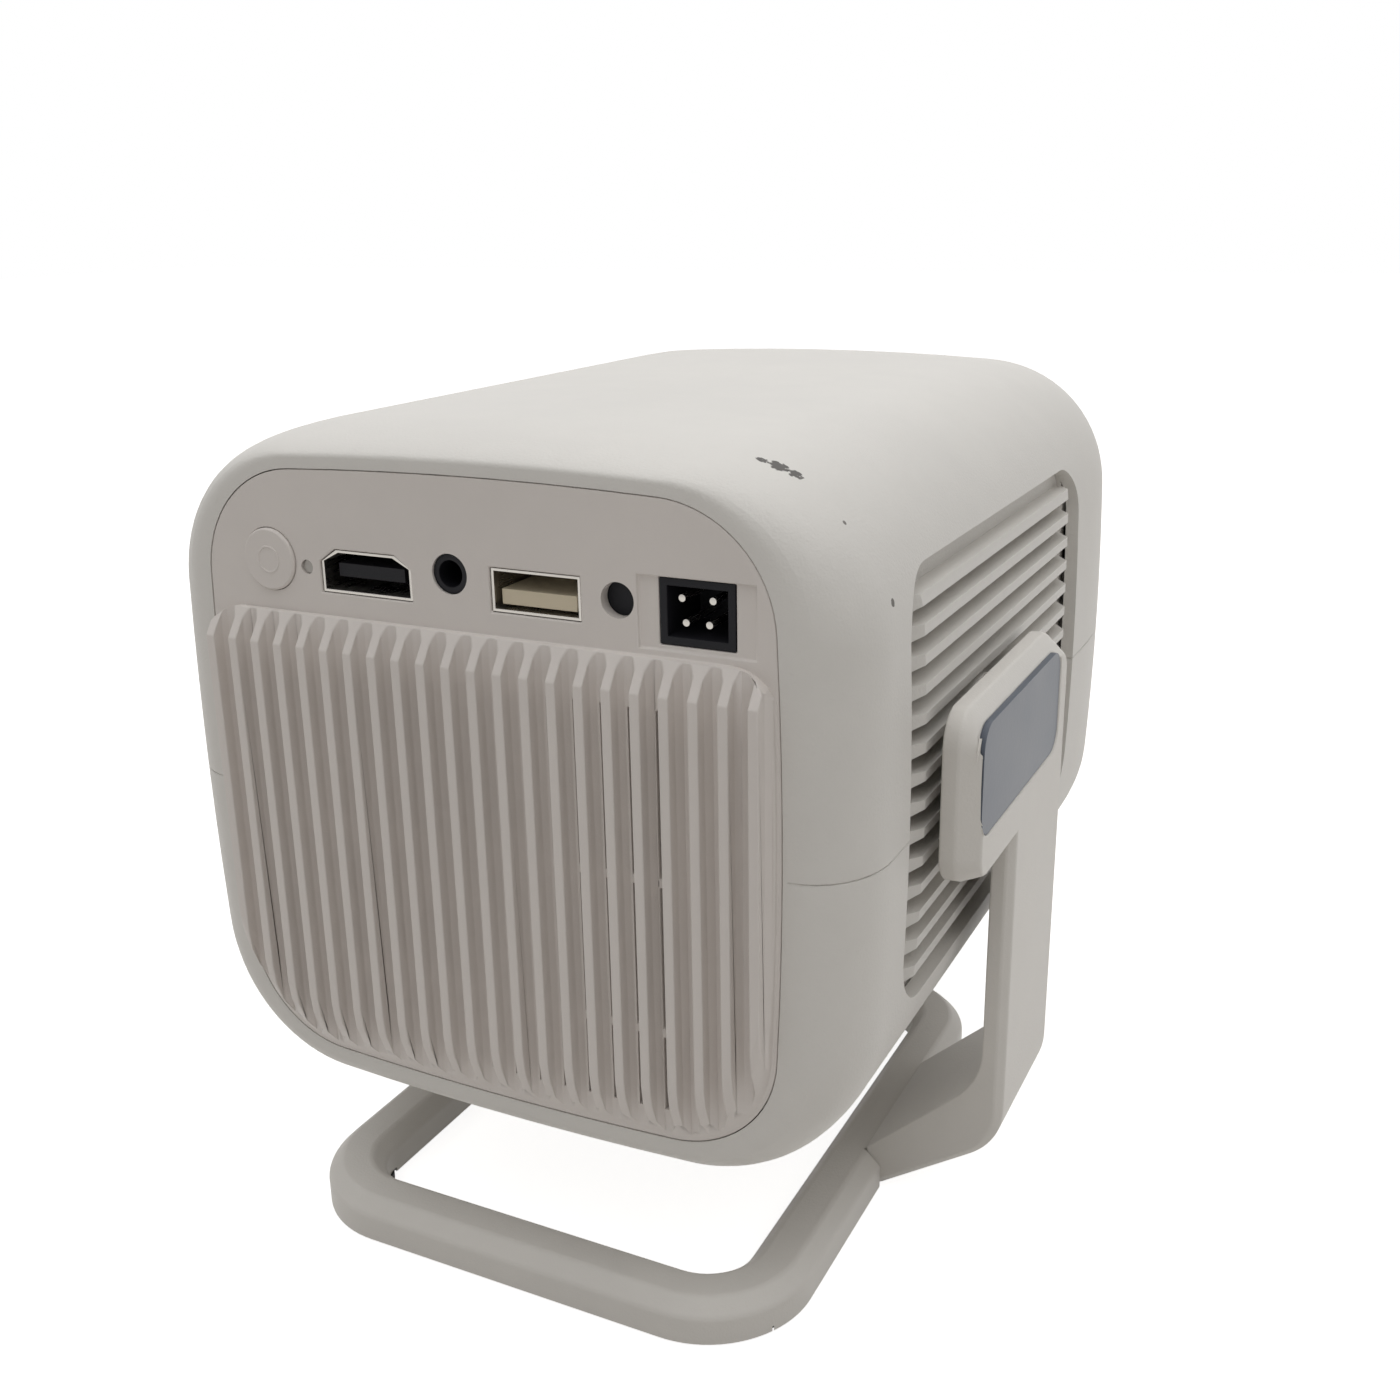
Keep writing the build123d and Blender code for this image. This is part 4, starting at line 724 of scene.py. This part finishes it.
@dataclass(frozen=True)
class Rounding:
    """How a rounded copy stands for a CAD node, in mm and degrees.

    Edges sharper than angle and longer than least are rounded, above the lowest height.
    A seam is its height and how far from the middle its skin starts.
    """

    radius: float
    segments: int = 2
    angle: float = 30.0
    least: float = 0.4
    sharp: float = 50.0
    lowest: float = 0.0
    seam: Point2 | None = None
    seam_ends: Point2 = (-73.0, 71.1)
    upright: bool = False
    housing: bool = False

    def may_round(self, spot: Vector) -> bool:
        """Whether edges through a point, in mm, may be rounded.

        Args:
            spot: The point.

        Returns:
            True above the lowest height and, where only a seam is rounded, on that seam's skin.
        """
        if self.seam is None:
            return spot.z > self.lowest
        height, reach = self.seam
        front, rear = self.seam_ends
        return abs(spot.z - height) < SAME_MM and abs(spot.x) > reach and front < spot.y < rear

    @staticmethod
    def stands(edge: bmesh.types.BMEdge) -> bool:
        """Whether an edge runs straight up."""
        first, last = edge.verts
        return abs((last.co - first.co).normalized().z) > 0.99

    @staticmethod
    def in_pierced_flat(edge: bmesh.types.BMEdge) -> bool:
        """Whether an edge lies in a rear or under flat, which sockets or foot pads pierce."""
        return all(face.normal.y > 0.999 or face.normal.z < -0.999 for face in edge.link_faces)

    def build(self, name: str, source: bpy.types.Object) -> bpy.types.Object:
        """Makes the rounded copy of a CAD node.

        Args:
            name: The new piece's name.
            source: The CAD node.

        Returns:
            The new object.
        """
        shape = bmesh.new()
        shape.from_mesh(source.data)
        bmesh.ops.remove_doubles(shape, verts=shape.verts, dist=JOIN)
        if self.housing:
            HousingForm().smooth(shape)
        else:
            flat = [edge for edge in shape.edges if not self.in_pierced_flat(edge)]
            bmesh.ops.dissolve_limit(
                shape, angle_limit=FLAT_ANGLE, use_dissolve_boundaries=False,
                verts=[], edges=flat, delimit={"NORMAL"},
            )
        edges = [
            edge for edge in shape.edges
            if edge.is_manifold and edge.calc_face_angle(0.0) > math.radians(self.angle)
            and edge.calc_length() > self.least * MM
            and all(self.may_round(vert.co / MM) for vert in edge.verts)
            and (not self.upright or self.stands(edge))
        ]
        bmesh.ops.bevel(
            shape, geom=edges, offset=self.radius * MM, offset_type="OFFSET", affect="EDGES",
            segments=self.segments, profile=0.5, material=-1, clamp_overlap=False,
        )
        spots = [vert.co for vert in source.data.vertices]
        low = [min(spot[axis] for spot in spots) for axis in range(3)]
        high = [max(spot[axis] for spot in spots) for axis in range(3)]
        for vert in shape.verts:
            vert.co = Vector(min(max(value, a), b) for value, a, b in zip(vert.co, low, high))
        for face in shape.faces:
            face.smooth = True
        for edge in shape.edges:
            edge.smooth = edge.calc_face_angle(0.0) < math.radians(self.sharp)
        piece = add_piece(name, shape)
        add_weighted_normals(piece, keep_sharp=True)
        return piece


@dataclass(frozen=True)
class Dressing:
    """One CAD node's finish, and how its edges are softened or its rounded copy is made."""

    finish: Finish
    edges: Softening | Rounding | None = None


FINE = Softening(0.12)
NODE_DRESSING: dict[str, Dressing] = {
    "base_loop": Dressing(STAND, Rounding(0.6, 3, 20.0, lowest=2.0)),
    "foot_pads": Dressing(RUBBER, Rounding(2.6, 4, 60.0, lowest=-1.0, upright=True)),
    "arm_screws": Dressing(STEEL),
    "upper_shell": Dressing(SHELL, Rounding(0.2, 1, seam=(74.3, 44.4), housing=True)),
    "lower_shell": Dressing(SHELL, Rounding(0.2, 1, seam=(74.3, 44.4), housing=True)),
    "rear_panel": Dressing(PANEL, Rounding(0.22, 2, 25.0, 0.8)),
    "front_panel": Dressing(GLOSS_BLACK, FINE),
    "lens_bezel": Dressing(SHELL, FINE),
    "focus_ring": Dressing(BLACK, FINE),
    "lens_barrel": Dressing(BLACK, FINE),
    "front_lens": Dressing(LENS_GLASS),
    "rear_lens": Dressing(LENS_GLASS),
    "optical_engine": Dressing(BLACK),
    "condenser_lens": Dressing(LENS_GLASS),
    "lcd_panel": Dressing(GLOSS_BLACK),
    "field_lens": Dressing(LENS_GLASS),
    "led_board": Dressing(BOARD),
    "led_heatsink": Dressing(ALUMINIUM),
    "main_board": Dressing(BOARD),
    "board_screws": Dressing(STEEL),
    "button_switch": Dressing(BLACK),
    "power_button": Dressing(PANEL, FINE),
    "status_light": Dressing(LIGHT_PIPE),
    "video_socket": Dressing(NICKEL, Softening(0.08)),
    "video_tongue": Dressing(BLACK),
    "audio_jack": Dressing(BLACK, FINE),
    "data_socket": Dressing(NICKEL, Softening(0.08)),
    "data_tongue": Dressing(CREAM, FINE),
    "ir_window": Dressing(BLACK),
    "power_socket": Dressing(BLACK, FINE),
    "power_pins": Dressing(NICKEL, FINE),
    "fan_frame": Dressing(BLACK),
    "fan_rotor": Dressing(BLACK),
    "fan_screws": Dressing(STEEL),
    "case_screws": Dressing(STEEL),
}
PAIRED_DRESSING: dict[str, Dressing] = {
    "arm": Dressing(STAND, Rounding(0.35, 3, 20.0, 0.3)),
    "window": Dressing(WINDOW, FINE),
    "pivot_pin": Dressing(STEEL),
    "friction_washer": Dressing(NYLON),
    "pivot_bush": Dressing(BRASS),
    "pivot_plate": Dressing(STEEL),
    "side_grille": Dressing(SHELL, FINE),
    "speaker": Dressing(CONE),
}


@dataclass
class CadNodes:
    """Every CAD node, dressed where it stays in sight."""

    book: FinishBook
    slots: dict[str, str] = field(default_factory=dict)

    def dress(self) -> None:
        """Gives each node its finish and its softened edges."""
        for row in frame["record"]["subparts"]:
            self.slots[row["node"]] = row["material_slot"]
        table = dict(NODE_DRESSING)
        for side in Side:
            for kind, dressing in PAIRED_DRESSING.items():
                table[f"{side.name.lower()}_{kind}"] = dressing
        for name, piece in frame["nodes"].items():
            dressing = table[name]
            self.book.dress(piece, dressing.finish)
            if isinstance(dressing.edges, Rounding):
                copy = dressing.edges.build(f"{name}_rounded", piece)
                self.book.dress(copy, dressing.finish)
                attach(copy, piece["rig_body"])
                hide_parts(name)
            elif dressing.edges:
                dressing.edges.apply(piece)
            log.info("node %s: %s", name, dressing.finish.name)


# ---- Added detail ----
@dataclass(frozen=True)
class ButtonRing:
    """The faint raised ring on the power button's face, in mm."""

    radius: float = 1.75
    width: float = 0.22
    height: float = 0.10
    sunk: float = 0.05
    steps: int = 64

    def build(self, book: FinishBook, slot: str) -> None:
        """Makes the ring and lets it ride on the button.

        Args:
            book: The finishes.
            slot: The material slot of the button in the record; not used.
        """
        button = frame["nodes"]["power_button"]
        spots = [vert.co for vert in button.data.vertices]
        low = [min(spot[axis] for spot in spots) for axis in range(3)]
        high = [max(spot[axis] for spot in spots) for axis in range(3)]
        centre = Vector(((low[0] + high[0]) / 2, high[1], (low[2] + high[2]) / 2))
        shape = bmesh.new()
        outline = [
            shape.verts.new(centre + Vector((reach * MM, rise * MM, 0.0)))
            for reach, rise in (
                (self.radius - self.width, -self.sunk),
                (self.radius - self.width / 2, self.height),
                (self.radius + self.width / 2, self.height),
                (self.radius + self.width, -self.sunk),
            )
        ]
        edges = [shape.edges.new(pair) for pair in zip(outline, outline[1:] + outline[:1])]
        bmesh.ops.spin(
            shape, geom=outline + edges, cent=centre, axis=(0.0, 1.0, 0.0), angle=math.tau,
            steps=self.steps, use_merge=True,
        )
        bmesh.ops.recalc_face_normals(shape, faces=shape.faces)
        for polygon in shape.faces:
            polygon.smooth = True
        ring = add_piece("button_ring", shape)
        add_weighted_normals(ring)
        book.dress(ring, PANEL)
        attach(ring, button["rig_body"])


# ---- Studio ----
@dataclass
class Studio:
    """Pale floor, soft lamps and the camera that took the photograph."""

    camera_place: Point = (-0.11100, 0.22732, 0.15372)
    yaw: float = 26.52
    pitch: float = 18.19
    roll: float = -0.95
    lens: float = 39.19
    sensor: float = 36.0
    floor_size: float = 6.0
    world_level: float = 0.255
    world_tone: tuple[float, float, float, float] = (1.0, 0.985, 0.965, 1.0)
    floor_tone: Colour = (0.68, 0.66, 0.635)
    floor_glow: float = 0.86

    def camera(self) -> None:
        """Places the camera."""
        yaw, pitch, roll = (math.radians(angle) for angle in (self.yaw, self.pitch, self.roll))
        flat = math.cos(pitch)
        ahead = Vector((math.sin(yaw) * flat, -math.cos(yaw) * flat, -math.sin(pitch)))
        level = Vector((-math.cos(yaw), -math.sin(yaw), 0.0))
        up = level.cross(ahead)
        right = level * math.cos(roll) + up * math.sin(roll)
        top = up * math.cos(roll) - level * math.sin(roll)
        data = bpy.data.cameras.new("camera")
        data.lens = self.lens
        data.sensor_width = self.sensor
        data.clip_start = 0.01
        data.clip_end = 50.0
        camera = bpy.data.objects.new("camera", data)
        bpy.context.scene.collection.objects.link(camera)
        turn = Matrix((right, top, -ahead)).transposed()
        camera.matrix_world = Matrix.Translation(Vector(self.camera_place)) @ turn.to_4x4()
        bpy.context.scene.camera = camera

    def lamp(self, name: str, place: Point, aim: Point, size: float, power: float) -> None:
        """Adds one soft square lamp.

        Args:
            name: The lamp's name.
            place: Where it stands.
            aim: The point it faces.
            size: The side of its square.
            power: Its power in watts.
        """
        data = bpy.data.lights.new(name, "AREA")
        data.shape = "SQUARE"
        data.size = size
        data.energy = power
        lamp = bpy.data.objects.new(name, data)
        bpy.context.scene.collection.objects.link(lamp)
        lamp.location = place
        lamp.rotation_euler = (Vector(aim) - Vector(place)).to_track_quat("-Z", "Y").to_euler()

    @staticmethod
    def seen(kit: Tree) -> bpy.types.NodeSocket:
        """One for the rays that see the background: from the camera, off gloss or through glass."""
        rays = kit.add("ShaderNodeLightPath").outputs
        mirrored = kit.maths("MAXIMUM", rays["Is Glossy Ray"], rays["Is Transmission Ray"])
        return kit.maths("MAXIMUM", rays["Is Camera Ray"], mirrored)

    def world(self) -> None:
        """A pale even world that the camera and reflections see as white."""
        world = bpy.data.worlds.new("studio")
        world.use_nodes = True
        world.node_tree.nodes.clear()
        kit = Tree(world.node_tree)
        seen = self.seen(kit)
        even = {"Color": self.world_tone, "Strength": self.world_level}
        dim = kit.add("ShaderNodeBackground", even)
        white = kit.add("ShaderNodeBackground", {"Color": WHITE, "Strength": 1.0})
        both = kit.add("ShaderNodeMixShader", {0: seen, 1: dim.outputs[0], 2: white.outputs[0]})
        kit.add("ShaderNodeOutputWorld", {0: both.outputs[0]})
        bpy.context.scene.world = world

    def floor(self) -> None:
        """A wide pale floor that keeps the stand's soft shadow."""
        shape = bmesh.new()
        bmesh.ops.create_grid(shape, x_segments=1, y_segments=1, size=self.floor_size / 2)
        floor = add_piece("floor", shape)
        material = bpy.data.materials.new("floor_white")
        material.use_nodes = True
        material.node_tree.nodes.clear()
        kit = Tree(material.node_tree)
        matt = kit.add("ShaderNodeBsdfDiffuse", {"Color": (*self.floor_tone, 1.0)})
        level = kit.maths("MULTIPLY", self.seen(kit), self.floor_glow)
        glow = kit.add("ShaderNodeEmission", {"Color": WHITE, "Strength": level})
        both = kit.add("ShaderNodeAddShader", {0: matt.outputs[0], 1: glow.outputs[0]})
        kit.add("ShaderNodeOutputMaterial", {0: both.outputs[0]})
        floor.data.materials.append(material)

    def build(self) -> None:
        """Builds the whole studio."""
        self.world()
        self.floor()
        middle = (0.0, 0.0, 0.07)  # about the middle of the body
        self.lamp("top_softbox", (-0.02, 0.02, 1.0), middle, 1.6, 9.6)
        self.lamp("right_softbox", (-0.75, -0.25, 0.45), middle, 0.6, 0.35)
        self.camera()
        bpy.context.scene.view_settings.view_transform = "Standard"
        log.info("studio ready")


def main() -> None:
    """Builds the studio and dresses every piece in order."""
    logging.basicConfig(level=logging.INFO, format="%(message)s")
    Studio().build()
    book = FinishBook(Groups())
    nodes = CadNodes(book)
    nodes.dress()
    ButtonRing().build(book, nodes.slots["power_button"])


if __name__ == "__main__":
    main()
